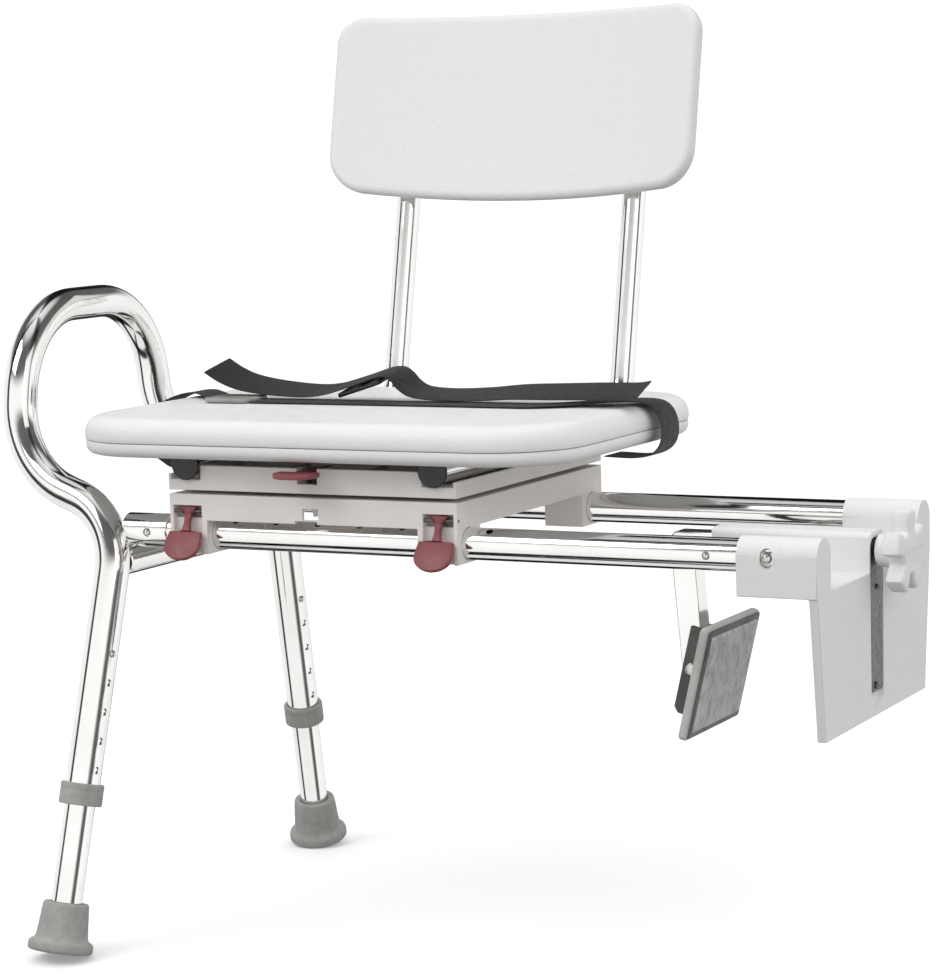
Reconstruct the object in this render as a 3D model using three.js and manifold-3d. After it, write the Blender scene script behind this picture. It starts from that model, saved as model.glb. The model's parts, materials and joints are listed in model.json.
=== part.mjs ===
// Sliding, swivelling bath transfer bench that clamps onto the rim of a bath.
// Units are millimetres and Z is up. The legs stand at the -X end, the bath clamp is at the +X end,
// the sitter faces -Y. While it is built, x = 0 lies beside the legs, y = 0 halfway between the
// two rails and z = 0 on the floor; at the very end the whole bench is centred over the origin.
import * as THREE from "three";
import { mergeVertices } from "three/addons/utils/BufferGeometryUtils.js";
import Module from "manifold-3d";

const wasm = await Module();
wasm.setup();

// ---------------------------------------------------------------- driving dimensions
const GAP = 0.3; // clearance between parts that touch
const WALL = 1.5; // wall of every round tube

const RAIL = { r: 14.3, y: 131, z: 380, start: 34, end: 690 };
const INDEX = { r: 3.2, first: 95, pitch: 43, count: 8, tilt: 30 }; // locking holes in the front rail
const STUB = { r: 15.9, end: 66 };
const FRAME_R = 15.9; // tube of the legs and the arm loop
const LEG = { x: 13.7, y: 146.4, leanX: 0.0528, leanY: 0.248, bottom: 140 };
const LOOP = { knee: [14.4, 143.2, 393], heel: [-110, 127, 434], top: [-111, 103, 583] };
const BEND = { knee: 70, heel: 90, top: 92, post: 60 };
const CROSS = { r: 12.7, z: 350, x: 12 };
const INNER = { r: 14, wall: 1.5, top: 300, bottom: 8 };
const LEG_HOLES = { first: 270, pitch: 26.2, count: 5, r: 3.4 };
const BUTTON = { proud: 2.6, leg: 3.0, clearance: 0.4 };
const BUTTONS = { rail: { x: 46, r: 3.6 }, stop: { x: 602, r: 3.2 }, sleeve: { x: 657, r: 4.2 } };
const COLLAR = { r: 20, top: 153, bottom: 133 };
const FOOT = { top: 47, topR: 20.5, waistR: 24, flangeR: 30, flange: 10, base: 1.6 };

const CARRIAGE = { x: 224, halfX: 148, halfY: 153 }; // centre and half sizes of both trays
const LOWER = { bottom: 394, top: 418, plate: 5, wall: 4.5 };
const UPPER = { bottom: 421.7, top: 444.7, plate: 5, wall: 4.5 };
const GLIDE = { length: 40, y: 108, bottom: 363, bore: 14.8 };
const POST = { r: 11.7, x: 127, z: 445.5, front: -155.5, backY: 256, backZ: 500, recline: 0.217, top: 800 };
const PLUG = { rim: 14.2, thick: 2.6 };

const LEVER = { x: 129, pivotY: -150, pivotZ: 402, thick: 4.8, tilt: 18, kick: 14, neck: 19.7, recess: 15 };
const PIN = { r: 2.5, near: 15.2, far: 24.8 };
const SWIVEL_LEVER = { pivotY: -143, z: 441.3, half: 2.3, grip: 20.5, pinY: -120, pinR: 3 };

const SEAT = { halfX: 253, halfY: 185, corner: 79, bottom: 453, parting: 466, top: 489, wall: 4 };
const PANEL = { width: 404, height: 190, thick: 22, x: 1, z: 764, radius: 900 };
const PANEL_EDGE = { top: 29, bottom: 40, droop: 6.5 };

const SLEEVE = { start: 630, end: 702, half: 16.8, bottom: 347, bore: 14.7 };
const HOUSING = { start: 555, half: 17, bottom: 353, top: 386, bore: 11.3, z: 369 };
const PLATE = { inner: 694, outer: 702, top: 351, bottom: 223.5, halfTop: 147, halfBottom: 131 };
const STRAP = { half: 15, thick: 4, bottom: 245, top: 379, slotBottom: 232.5, slotTop: 381 };
const CLAMP = { half: 11, wall: 1.6, start: 513, end: 650, nut: 9, screw: 5, screwStart: 620 };
const PAD = { pivot: [532.5, 256.5], halfY: 62, halfZ: 52, front: 25.3, thick: 8.5, tilt: 13.5, raised: 3.6 };
const KNOB = { r: 36, lobe: 8, core: 20, start: 719, end: 735, hub: 14.5, hubStart: 704.5 };

const RIBBON = { half: 20, thick: 1.6, endY: 47, seatY: -8, looseY: 14 };
const BUCKLE = { x: 63, halfX: 25, halfY: 22, top: 494 };
const SLIDER = { x: 196, z: 504.5, halfX: 24, halfY: 23, tilt: 17 };

// ---------------------------------------------------------------- colours
const finish = (color, roughness, metalness) => ({ color, roughness, metalness });
const CHROME = finish(0xd8d8d6, 0.12, 1);
const STEEL = finish(0xb4b4b0, 0.3, 1);
const DARK_STEEL = finish(0x4a4a48, 0.4, 0.9);
const WHITE = finish(0xe9e6e0, 0.5, 0);
const MOUNT_WHITE = finish(0xe4e4e2, 0.6, 0);
const SEAT_GREY = finish(0xe6e6e4, 0.55, 0);
const GREY_RUBBER = finish(0x9b9b97, 0.85, 0);
const BLACK = finish(0x191919, 0.6, 0);
const RED = finish(0xa04048, 0.4, 0);
const PAD_LIGHT = finish(0xc9c9c5, 0.7, 0);
const PAD_DARK = finish(0x5a5a58, 0.7, 0);
const BUCKLE_GREY = finish(0x8c8c86, 0.5, 0);

// ---------------------------------------------------------------- solids
const rad = THREE.MathUtils.degToRad;

// A geometry as a solid that can be joined and cut.
function solid(geometry) {
  const bare = geometry.index ? geometry.toNonIndexed() : geometry.clone();
  bare.deleteAttribute("normal");
  bare.deleteAttribute("uv");
  const merged = mergeVertices(bare, 1e-3);
  return new wasm.Manifold(
    new wasm.Mesh({
      numProp: 3,
      vertProperties: new Float32Array(merged.attributes.position.array),
      triVerts: new Uint32Array(merged.index.array),
    }),
  );
}

// A solid as a geometry.
function geometryOf(body) {
  const mesh = body.getMesh();
  const geometry = new THREE.BufferGeometry();
  geometry.setAttribute("position", new THREE.BufferAttribute(mesh.vertProperties, 3));
  geometry.setIndex(new THREE.BufferAttribute(mesh.triVerts, 1));
  return geometry;
}

const bench = new THREE.Group();
bench.name = "bath_transfer_bench";

function add(name, body, look) {
  const geometry = geometryOf(body);
  geometry.computeVertexNormals();
  const mesh = new THREE.Mesh(geometry, new THREE.MeshStandardMaterial({ ...look, flatShading: true }));
  mesh.name = name;
  bench.add(mesh);
}

const join = (...bodies) => bodies.reduce((all, body) => all.add(body));
const cut = (body, ...tools) => tools.reduce((rest, tool) => rest.subtract(tool), body);
const largest = (body) => body.decompose().reduce((a, b) => (b.volume() > a.volume() ? b : a));

function box([x0, x1], [y0, y1], [z0, z1]) {
  const geometry = new THREE.BoxGeometry(x1 - x0, y1 - y0, z1 - z0);
  return solid(geometry.translate((x0 + x1) / 2, (y0 + y1) / 2, (z0 + z1) / 2));
}

// A geometry whose local +Y is turned to run from one point towards another.
function aimed(geometry, from, to) {
  const direction = new THREE.Vector3().subVectors(to, from).normalize();
  const turn = new THREE.Quaternion().setFromUnitVectors(new THREE.Vector3(0, 1, 0), direction);
  return geometry.applyQuaternion(turn).translate(from.x, from.y, from.z);
}

// A round bar between two points.
function rod(a, b, r, sides = 16) {
  const from = new THREE.Vector3(...a);
  const to = new THREE.Vector3(...b);
  const length = from.distanceTo(to);
  const bar = new THREE.CylinderGeometry(r, r, length, sides).translate(0, length / 2, 0);
  return solid(aimed(bar, from, to));
}

// A turned body: the profile holds [radius, distance] pairs, the distance running from a towards b.
function turned(profile, a, b, sides = 16) {
  const points = profile.map(([r, d]) => new THREE.Vector2(r, d));
  const lathe = new THREE.LatheGeometry(points, sides);
  return solid(aimed(lathe, new THREE.Vector3(...a), new THREE.Vector3(...b)));
}

// A flat outline pushed along one axis. Outlines are [y, z] for "x", [x, z] for "y", [x, y] for "z".
function slabGeometry(outline, axis, from, to) {
  const corners = () => outline.map((p) => new THREE.Vector2(...p));
  const shape = outline instanceof THREE.Shape ? outline : new THREE.Shape(corners());
  const settings = { depth: to - from, bevelEnabled: false, curveSegments: 3 };
  const geometry = new THREE.ExtrudeGeometry(shape, settings);
  const [X, Y, Z] = [new THREE.Vector3(1, 0, 0), new THREE.Vector3(0, 1, 0), new THREE.Vector3(0, 0, 1)];
  const basis = new THREE.Matrix4();
  if (axis === "x") basis.makeBasis(Y, Z, X).setPosition(from, 0, 0);
  if (axis === "y") basis.makeBasis(X, Z, Y.clone().negate()).setPosition(0, to, 0);
  if (axis === "z") basis.setPosition(0, 0, from);
  return geometry.applyMatrix4(basis);
}
const slab = (...shape) => solid(slabGeometry(...shape));

// A rectangle with its own radius at the bottom and the top corners.
function roundedRect(cx, cy, halfW, halfH, bottomR, topR = bottomR) {
  const [x0, x1, y0, y1] = [cx - halfW, cx + halfW, cy - halfH, cy + halfH];
  const shape = new THREE.Shape();
  shape.moveTo(x0 + bottomR, y0);
  shape.lineTo(x1 - bottomR, y0);
  shape.absarc(x1 - bottomR, y0 + bottomR, bottomR, -Math.PI / 2, 0);
  shape.lineTo(x1, y1 - topR);
  shape.absarc(x1 - topR, y1 - topR, topR, 0, Math.PI / 2);
  shape.lineTo(x0 + topR, y1);
  shape.absarc(x0 + topR, y1 - topR, topR, Math.PI / 2, Math.PI);
  shape.lineTo(x0, y0 + bottomR);
  shape.absarc(x0 + bottomR, y0 + bottomR, bottomR, Math.PI, Math.PI * 1.5);
  return shape;
}

// A line of straight runs joined by arcs, sampled at its corners only.
class BentLine extends THREE.Curve {
  constructor(corners, radii, step = 20) {
    super();
    this.stations = [];
    const put = (point, tangent) => this.stations.push({ point, tangent });
    const last = corners.length - 1;
    const along = (i) => new THREE.Vector3().subVectors(corners[i + 1], corners[i]).normalize();
    put(corners[0], along(0));
    for (let i = 1; i < last; i++) {
      const [before, after, r] = [along(i - 1), along(i), radii[i - 1]];
      const turn = before.angleTo(after);
      const start = corners[i].clone().addScaledVector(before, -r * Math.tan(turn / 2));
      const side = after.clone().addScaledVector(before, -after.dot(before)).normalize();
      const steps = Math.max(2, Math.round(THREE.MathUtils.radToDeg(turn) / step));
      for (let k = 0; k <= steps; k++) {
        const a = (turn * k) / steps;
        const point = start.clone().addScaledVector(before, r * Math.sin(a));
        point.addScaledVector(side, r * (1 - Math.cos(a)));
        const tangent = before.clone().multiplyScalar(Math.cos(a)).addScaledVector(side, Math.sin(a));
        put(point, tangent);
      }
    }
    put(corners[last], along(last - 1));
  }
  get steps() {
    return this.stations.length - 1;
  }
  station(u) {
    return this.stations[Math.round(u * this.steps)];
  }
  getPointAt(u, target = new THREE.Vector3()) {
    return target.copy(this.station(u).point);
  }
  getTangentAt(u, target = new THREE.Vector3()) {
    return target.copy(this.station(u).tangent);
  }
}

// A tube along a bent line, hollow if it has a bore.
function tube(line, r, bore = 0, sides = 16) {
  const points = (size) =>
    Array.from({ length: sides }, (_, k) => {
      const a = (2 * Math.PI * k) / sides;
      return new THREE.Vector2(size * Math.cos(a), size * Math.sin(a));
    });
  const shape = new THREE.Shape(points(r));
  if (bore) shape.holes = [new THREE.Path(points(bore).reverse())];
  return solid(new THREE.ExtrudeGeometry(shape, { steps: line.steps, extrudePath: line }));
}

const V = (x, y, z) => new THREE.Vector3(x, y, z);
const straight = (a, b) => new BentLine([V(...a), V(...b)], []);
const pipe = (a, b, r, bore) => tube(straight(a, b), r, bore);

// ---------------------------------------------------------------- legs and arm loop
// side is -1 for the front of the bench and 1 for the rear.
const ENDS = [
  ["front", -1],
  ["rear", 1],
];
const legPoint = (side, z) => [
  LEG.x + LEG.leanX * (z - RAIL.z),
  side * (LEG.y + LEG.leanY * (RAIL.z - z)),
  z,
];
// The way the snap buttons of the legs face, before it is squared to the leg.
const BUTTON_TURN = rad(14);
const legOut = V(Math.cos(BUTTON_TURN), -Math.sin(BUTTON_TURN), 0);

// A point beside a leg: at height z on its axis, then d outwards through the buttons.
function besideLeg(side, z, d) {
  const axis = V(...legPoint(side, 1)).sub(V(...legPoint(side, 0))).normalize();
  const out = legOut.clone().addScaledVector(axis, -legOut.dot(axis)).normalize();
  return V(...legPoint(side, z)).addScaledVector(out, d).toArray();
}

const front = ([x, y, z]) => [x, -y, z];
const loopCorners = [
  legPoint(-1, LEG.bottom),
  front(LOOP.knee),
  front(LOOP.heel),
  front(LOOP.top),
  LOOP.top,
  LOOP.heel,
  LOOP.knee,
  legPoint(1, LEG.bottom),
].map((p) => V(...p));
const loopRadii = [BEND.knee, BEND.heel, BEND.top, BEND.top, BEND.heel, BEND.knee];
const loopLine = new BentLine(loopCorners, loopRadii);
const frameEnvelope = tube(loopLine, FRAME_R + GAP);

const legHoles = ENDS.flatMap(([, side]) =>
  Array.from({ length: LEG_HOLES.count }, (_, k) => {
    const z = LEG_HOLES.first - k * LEG_HOLES.pitch;
    return rod(besideLeg(side, z, 8), besideLeg(side, z, 20), LEG_HOLES.r, 8);
  }),
);
add("arm_leg_tube", cut(tube(loopLine, FRAME_R, FRAME_R - WALL), ...legHoles), CHROME);

const crossY = LEG.y + LEG.leanY * (RAIL.z - CROSS.z);
const crossTube = pipe([CROSS.x, -crossY, CROSS.z], [CROSS.x, crossY, CROSS.z], CROSS.r, CROSS.r - WALL);
add("leg_cross_tube", largest(crossTube.subtract(frameEnvelope)), CHROME);

// ---------------------------------------------------------------- rails
for (const [end, side] of ENDS) {
  const y = side * RAIL.y;
  const across = ({ x, r }) => {
    const [from, to] = [y + side * 8, y + side * 22];
    return rod([x, from, RAIL.z], [x, to, RAIL.z], r + BUTTON.clearance, 12);
  };
  const stub = pipe([-12, y, RAIL.z], [STUB.end, y, RAIL.z], STUB.r, RAIL.r + GAP);
  add(`${end}_rail_stub`, largest(cut(stub, frameEnvelope, across(BUTTONS.rail))), CHROME);

  let rail = pipe([RAIL.start, y, RAIL.z], [RAIL.end, y, RAIL.z], RAIL.r, RAIL.r - WALL);
  rail = cut(rail, ...Object.values(BUTTONS).map(across));
  if (side < 0)
    for (let k = 0; k < INDEX.count; k++) {
      const x = INDEX.first + INDEX.pitch * k;
      const [dy, dz] = [-Math.sin(rad(INDEX.tilt)), Math.cos(rad(INDEX.tilt))];
      const at = (d) => [x, y + dy * d, RAIL.z + dz * d];
      rail = rail.subtract(rod(at(9), at(18), INDEX.r, 10));
    }
  add(`${end}_rail`, rail, CHROME);

  // A snap button: a domed plunger that rests in a hole, clear of the tube behind the hole.
  const button = (name, r, inner, outer, height) => {
    const dome = [
      [0, 0],
      [r, 0],
      [r, height - 1.8],
      [r * 0.8, height - 0.6],
      [0, height],
    ];
    add(`${end}_${name}_button`, turned(dome, inner, outer, 12), STEEL);
  };
  const plunger = (name, from, to) => {
    const { x, r } = BUTTONS[name];
    button(name, r, [x, y + side * from, RAIL.z], [x, y + side * to, RAIL.z], to - from);
  };
  plunger("rail", RAIL.r + GAP, STUB.r + BUTTON.proud);
  plunger("stop", RAIL.r - WALL, RAIL.r + BUTTON.proud);
  plunger("sleeve", RAIL.r - WALL, RAIL.r + BUTTON.proud + 1.4);

  const [seated, tip] = [INNER.r + GAP, FRAME_R + BUTTON.proud];
  const beside = (d) => besideLeg(side, LEG_HOLES.first, d);
  button("leg", BUTTON.leg, beside(seated), beside(tip), tip - seated);

  // Extending leg, its clamping collar and its rubber foot.
  const inner = pipe(legPoint(side, INNER.bottom), legPoint(side, INNER.top), INNER.r, INNER.r - INNER.wall);
  const innerHole = rod(beside(8), beside(20), LEG_HOLES.r, 10);
  add(`${end}_leg_tube`, inner.subtract(innerHole), CHROME);

  const down = (profile, z, sides) => turned(profile, legPoint(side, z), legPoint(side, z + 100), sides);
  const step = LEG.bottom - COLLAR.bottom - 1;
  const height = COLLAR.top - COLLAR.bottom;
  const collar = [
    [INNER.r + GAP, 0],
    [COLLAR.r - 1, 0],
    [COLLAR.r, 1],
    [COLLAR.r, height - 1],
    [COLLAR.r - 1, height],
    [FRAME_R + GAP, height],
    [FRAME_R + GAP, step],
    [INNER.r + GAP, step],
    [INNER.r + GAP, 0],
  ];
  add(`${end}_leg_collar`, down(collar, COLLAR.bottom, 16), GREY_RUBBER);

  const floor = INNER.bottom - FOOT.base - 0.5;
  const foot = [
    [0, 0],
    [FOOT.flangeR - 2, 0],
    [FOOT.flangeR, 2],
    [FOOT.flangeR, FOOT.flange - 2],
    [FOOT.flangeR - 2, FOOT.flange],
    [FOOT.waistR, FOOT.flange + 1],
    [FOOT.topR + 1, FOOT.top - FOOT.base - 2],
    [FOOT.topR - 1, FOOT.top - FOOT.base],
    [INNER.r + GAP, FOOT.top - FOOT.base],
    [INNER.r + GAP, floor],
    [0, floor],
  ];
  add(`${end}_foot`, down(foot, FOOT.base, 20), GREY_RUBBER);
}

// ---------------------------------------------------------------- bath mount
const cylinderX = (y, z, r, x0, x1, sides = 20) => rod([x0, y, z], [x1, y, z], r, sides);
const plateOutline = [
  [-PLATE.halfBottom, PLATE.bottom],
  [PLATE.halfBottom, PLATE.bottom],
  [PLATE.halfTop, PLATE.top],
  [PLATE.halfTop, 380],
  [-PLATE.halfTop, 380],
  [-PLATE.halfTop, PLATE.top],
];
let mount = slab(plateOutline, "x", PLATE.inner, PLATE.outer);
for (const side of [-1, 1]) {
  const y = side * RAIL.y;
  const [near, far] = [HOUSING.half - 1, RAIL.y - SLEEVE.half + 1];
  const pocket = side > 0 ? [near, far] : [-far, -near];
  mount = mount.subtract(box([PLATE.inner - 1, PLATE.outer + 1], pocket, [PLATE.top, 400]));
  mount = join(
    mount,
    cylinderX(y, RAIL.z, SLEEVE.half, SLEEVE.start, SLEEVE.end, 40),
    box([SLEEVE.start, SLEEVE.end], [y - SLEEVE.half, y + SLEEVE.half], [SLEEVE.bottom, RAIL.z]),
    box([SLEEVE.start, SLEEVE.end], pocket, [SLEEVE.bottom, PLATE.top]),
  );
}
const housing = roundedRect(0, (HOUSING.bottom + HOUSING.top) / 2, HOUSING.half, 16.5, 2, 6);
mount = mount.add(slab(housing, "x", HOUSING.start, PLATE.outer));
mount = mount.add(box([SLEEVE.start, SLEEVE.end], [-HOUSING.half, HOUSING.half], [SLEEVE.bottom, 365]));
const bore = HOUSING.bore;
const between = (low, high) => [(low + high) / 2, (high - low) / 2];
const [slotZ, slotHalf] = between(STRAP.slotBottom, STRAP.slotTop);
const slotOutline = roundedRect(0, slotZ, STRAP.half + 1, slotHalf, 12, 10);
mount = cut(
  mount,
  box([HOUSING.start - 1, 691], [-bore, bore], [HOUSING.z - bore, HOUSING.z + bore]),
  box([HOUSING.start - 1, 586], [-bore - 0.5, bore + 0.5], [340, HOUSING.z]),
  cylinderX(0, HOUSING.z, CLAMP.screw + GAP, 680, 710, 16),
  slab(slotOutline, "x", PLATE.outer - STRAP.thick - GAP, 710),
);
for (const side of [-1, 1]) {
  const y = side * RAIL.y;
  mount = cut(
    mount,
    cylinderX(y, RAIL.z, SLEEVE.bore, SLEEVE.start - 1, RAIL.end + GAP, 32),
    slab(roundedRect(BUTTONS.sleeve.x, RAIL.z, 5.6, 8.5, 5.5), "y", y + side * 15 - 7, y + side * 15 + 7),
  );
}
const STRAP_SCREWS = [
  { end: "upper", y: 0, z: 337, head: 2.4 },
  { end: "lower", y: -4, z: 250.5, head: 3.4 },
];
const shankOf = (head) => head * 0.55;
const screwHole = ({ y, z, head }) => cylinderX(y, z, shankOf(head) + GAP, 690, 710, 12);
mount = cut(mount, ...STRAP_SCREWS.map(screwHole));
add("tub_mount_body", mount, MOUNT_WHITE);

const strapFace = [PLATE.outer - STRAP.thick, PLATE.outer];
const [strapZ, strapHalf] = between(STRAP.bottom, STRAP.top);
const slotStrap = cut(
  slab(roundedRect(0, strapZ, STRAP.half, strapHalf, 4, 9), "x", ...strapFace),
  cylinderX(0, HOUSING.z, CLAMP.screw + GAP, 690, 710, 16),
  ...STRAP_SCREWS.map(screwHole),
);
add("slot_strap", slotStrap, DARK_STEEL);

for (const { end, y, z, head } of STRAP_SCREWS) {
  const [shank, back, face] = [shankOf(head), PLATE.inner + 1, PLATE.outer + GAP];
  const profile = [
    [0, 0],
    [shank, 0],
    [shank, face - back],
    [head, face - back],
    [head, face - back + 0.8],
    [head * 0.6, face - back + 1.7],
    [0, face - back + 1.7],
  ];
  add(`strap_screw_${end}`, turned(profile, [back, y, z], [back + 20, y, z], 12), DARK_STEEL);
}

// ---------------------------------------------------------------- clamp
const half = CLAMP.half;
const hollow = half - CLAMP.wall;
const armTop = [CLAMP.start + 10, HOUSING.z];
const armFoot = PAD.pivot;
// The upright of the arm as an [x, z] outline around the line from the elbow to the pad pivot.
function uprightOutline(size, reach) {
  const dir = V(armFoot[0] - armTop[0], armFoot[1] - armTop[1], 0).normalize();
  const side = V(-dir.y, dir.x, 0);
  const point = (d, s, p) => [p[0] + dir.x * d + side.x * s, p[1] + dir.y * d + side.y * s];
  const end = Array.from({ length: 9 }, (_, k) => {
    const a = (Math.PI * k) / 8;
    return point(size * Math.sin(a), -size * Math.cos(a), armFoot);
  });
  return reach ? [...end, point(0, size, armTop), point(0, -size, armTop)] : end;
}
const elbow = [
  [CLAMP.start, HOUSING.z - half],
  [CLAMP.end, HOUSING.z - half],
  [CLAMP.end, HOUSING.z + half],
  [CLAMP.start + 4, HOUSING.z + half],
  [CLAMP.start, HOUSING.z + half - 4],
];
let arm = join(slab(elbow, "y", -half, half), slab(uprightOutline(half, true), "y", -half, half));
arm = cut(
  arm,
  box([CLAMP.start + 14, CLAMP.end + 1], [-hollow, hollow], [HOUSING.z - hollow, HOUSING.z + hollow]),
  rod([armFoot[0], -20, armFoot[1]], [armFoot[0], 20, armFoot[1]], 4.3, 16),
);
add("clamp_arm", arm, CHROME);

const aboutScrew = (half) => [HOUSING.z - half, HOUSING.z + half];
const nut = box([CLAMP.end - 12, CLAMP.end - 1], [-CLAMP.nut, CLAMP.nut], aboutScrew(CLAMP.nut));
add("clamp_nut", nut.subtract(cylinderX(0, HOUSING.z, CLAMP.screw + GAP, 630, 660, 16)), STEEL);

const screwEnd = KNOB.hubStart + 12;
add("clamp_screw", cylinderX(0, HOUSING.z, CLAMP.screw, CLAMP.screwStart, screwEnd, 16), STEEL);

// Star knob: five round-ended lobes on a core, with a hub towards the plate.
let knob = join(
  cylinderX(0, HOUSING.z, KNOB.core, KNOB.start, KNOB.end, 20),
  cylinderX(0, HOUSING.z, KNOB.hub, KNOB.hubStart, KNOB.start + 1, 20),
);
for (let k = 0; k < 5; k++) {
  const a = rad(90 + 72 * k);
  const reach = KNOB.r - KNOB.lobe;
  const [dy, dz] = [Math.cos(a), Math.sin(a)];
  const corner = (d, s) => [dy * d - dz * s, HOUSING.z + dz * d + dy * s];
  const arms = [corner(0, -KNOB.lobe), corner(reach, -KNOB.lobe), corner(reach, KNOB.lobe)];
  arms.push(corner(0, KNOB.lobe));
  knob = join(
    knob,
    slab(arms, "x", KNOB.start, KNOB.end),
    cylinderX(dy * reach, HOUSING.z + dz * reach, KNOB.lobe, KNOB.start, KNOB.end, 12),
  );
}
const knobHole = cylinderX(0, HOUSING.z, CLAMP.screw + GAP, KNOB.hubStart - 1, screwEnd + GAP, 16);
add("clamp_knob", knob.subtract(knobHole), MOUNT_WHITE);

// Pad: built upright about its pivot, facing +X, then leant back.
const [pivotX, pivotZ] = PAD.pivot;
function leant(body) {
  return body.rotate([0, PAD.tilt, 0]).translate([pivotX, 0, pivotZ]);
}
const padBack = PAD.front - PAD.thick;
let bracket = box([-9.5, padBack - GAP], [-14.2, 14.2], [-38, 38]);
const lip = [
  [-9.5, -38],
  [padBack - GAP, -38],
  [padBack - GAP, -43],
  [-5, -43],
];
bracket = bracket.add(slab(lip, "y", -14.2, 14.2));
bracket = cut(
  bracket,
  box([-20, half + 1.5], [-half - 0.5, half + 0.5], [-50, 50]),
  rod([0, -20, 0], [0, 20, 0], 4.3, 16),
);
add("pad_bracket", leant(bracket), PAD_DARK);

const padSection = (inset) =>
  roundedRect(0, 0, PAD.halfY - inset, PAD.halfZ - inset, Math.max(5 - inset, 1.5));
const padFrame = join(
  slab(padSection(1.5), "x", padBack, padBack + 2),
  slab(padSection(0), "x", padBack + 1.5, PAD.front - 2),
  slab(padSection(1.5), "x", PAD.front - 3, PAD.front),
);
add("pad_frame", leant(padFrame), PAD_LIGHT);
const padFace = join(
  slab(padSection(2), "x", PAD.front + GAP, PAD.front + 1.6),
  slab(padSection(7.8), "x", PAD.front + 1, PAD.front + 2.8),
  slab(padSection(9), "x", PAD.front + 2, PAD.front + PAD.raised),
);
add("pad_face", leant(padFace), PAD_LIGHT);

const padPin = [
  [0, 0],
  [6, 0],
  [6, 2],
  [4, 2],
  [4, 31.2],
  [6, 31.2],
  [6, 33.2],
  [0, 33.2],
];
add("pad_pivot_pin", turned(padPin, [pivotX, -16.6, pivotZ], [pivotX, 16.6, pivotZ], 16), STEEL);

// ---------------------------------------------------------------- lower tray
const [trayX0, trayX1] = [CARRIAGE.x - CARRIAGE.halfX, CARRIAGE.x + CARRIAGE.halfX];
const trayY = CARRIAGE.halfY;
const bothSides = (offset) => [
  ["left", CARRIAGE.x - offset],
  ["right", CARRIAGE.x + offset],
];
const LEVERS = bothSides(LEVER.x);
const underTop = LOWER.top - LOWER.plate;
let tray = box([trayX0, trayX1], [-trayY, trayY], [LOWER.bottom, LOWER.top]);
tray = tray.subtract(
  box(
    [trayX0 + LOWER.wall, trayX1 - LOWER.wall],
    [-trayY + LOWER.wall, trayY - LOWER.wall],
    [LOWER.bottom - 1, underTop],
  ),
);
// Stiffening ribs and the boss of the swivel bolt.
for (const x of [CARRIAGE.x - 60, CARRIAGE.x + 60])
  tray = tray.add(box([x - 1.5, x + 1.5], [-trayY + 1, trayY - 1], [LOWER.bottom + 5, LOWER.top - 1]));
tray = tray.add(box([CARRIAGE.x - 60, CARRIAGE.x + 60], [-1.5, 1.5], [LOWER.bottom + 5, LOWER.top - 1]));
tray = tray.add(rod([CARRIAGE.x, 0, LOWER.bottom + 3], [CARRIAGE.x, 0, LOWER.top - 1], 16, 20));
for (const [x0, x1] of [
  [trayX0, trayX0 + GLIDE.length],
  [trayX1 - GLIDE.length, trayX1],
])
  for (const side of [-1, 1]) {
    const span = side > 0 ? [GLIDE.y, trayY] : [-trayY, -GLIDE.y];
    tray = tray.add(box([x0, x1], span, [GLIDE.bottom, underTop + 1]));
  }
for (const side of [-1, 1])
  tray = tray.subtract(cylinderX(side * RAIL.y, RAIL.z, GLIDE.bore, trayX0 - 1, trayX1 + 1, 20));
const lockWay = (from, to) => {
  const [dy, dz] = [-Math.sin(rad(INDEX.tilt)), Math.cos(rad(INDEX.tilt))];
  return (x) => [
    [x, -RAIL.y + dy * from, RAIL.z + dz * from],
    [x, -RAIL.y + dy * to, RAIL.z + dz * to],
  ];
};
for (const [, x] of LEVERS) {
  const span = [x - LEVER.recess, x + LEVER.recess];
  tray = cut(
    tray,
    box(span, [-trayY - 1, -147], [GLIDE.bottom - 1, 407.5]),
    box(span, [-trayY - 1, -139.5], [396, 407.5]),
    rod(...lockWay(12, 30)(x), PIN.r + GAP, 12),
    cylinderX(LEVER.pivotY, LEVER.pivotZ, 1.8, x - 19.4, x + 19.4, 10),
  );
}
// Holes for the swivel lock: facing forwards and a quarter turn either way.
for (const quarter of [-1, 0, 1]) {
  const turn = (quarter * Math.PI) / 2;
  const [x, y] = [CARRIAGE.x - SWIVEL_LEVER.pinY * Math.sin(turn), SWIVEL_LEVER.pinY * Math.cos(turn)];
  tray = tray.subtract(rod([x, y, LOWER.bottom], [x, y, LOWER.top + 1], SWIVEL_LEVER.pinR + 0.5, 12));
}
tray = cut(
  tray,
  box([216, 232], [-trayY - 1, -trayY + LOWER.wall + 1], [398, 408]),
  box([208, 231], [-trayY - 1, -trayY + LOWER.wall + 1], [LOWER.bottom - 1, 397]),
  rod([CARRIAGE.x, 0, 380], [CARRIAGE.x, 0, 430], 6.4, 16),
);
add("lower_tray", tray, WHITE);

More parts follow.
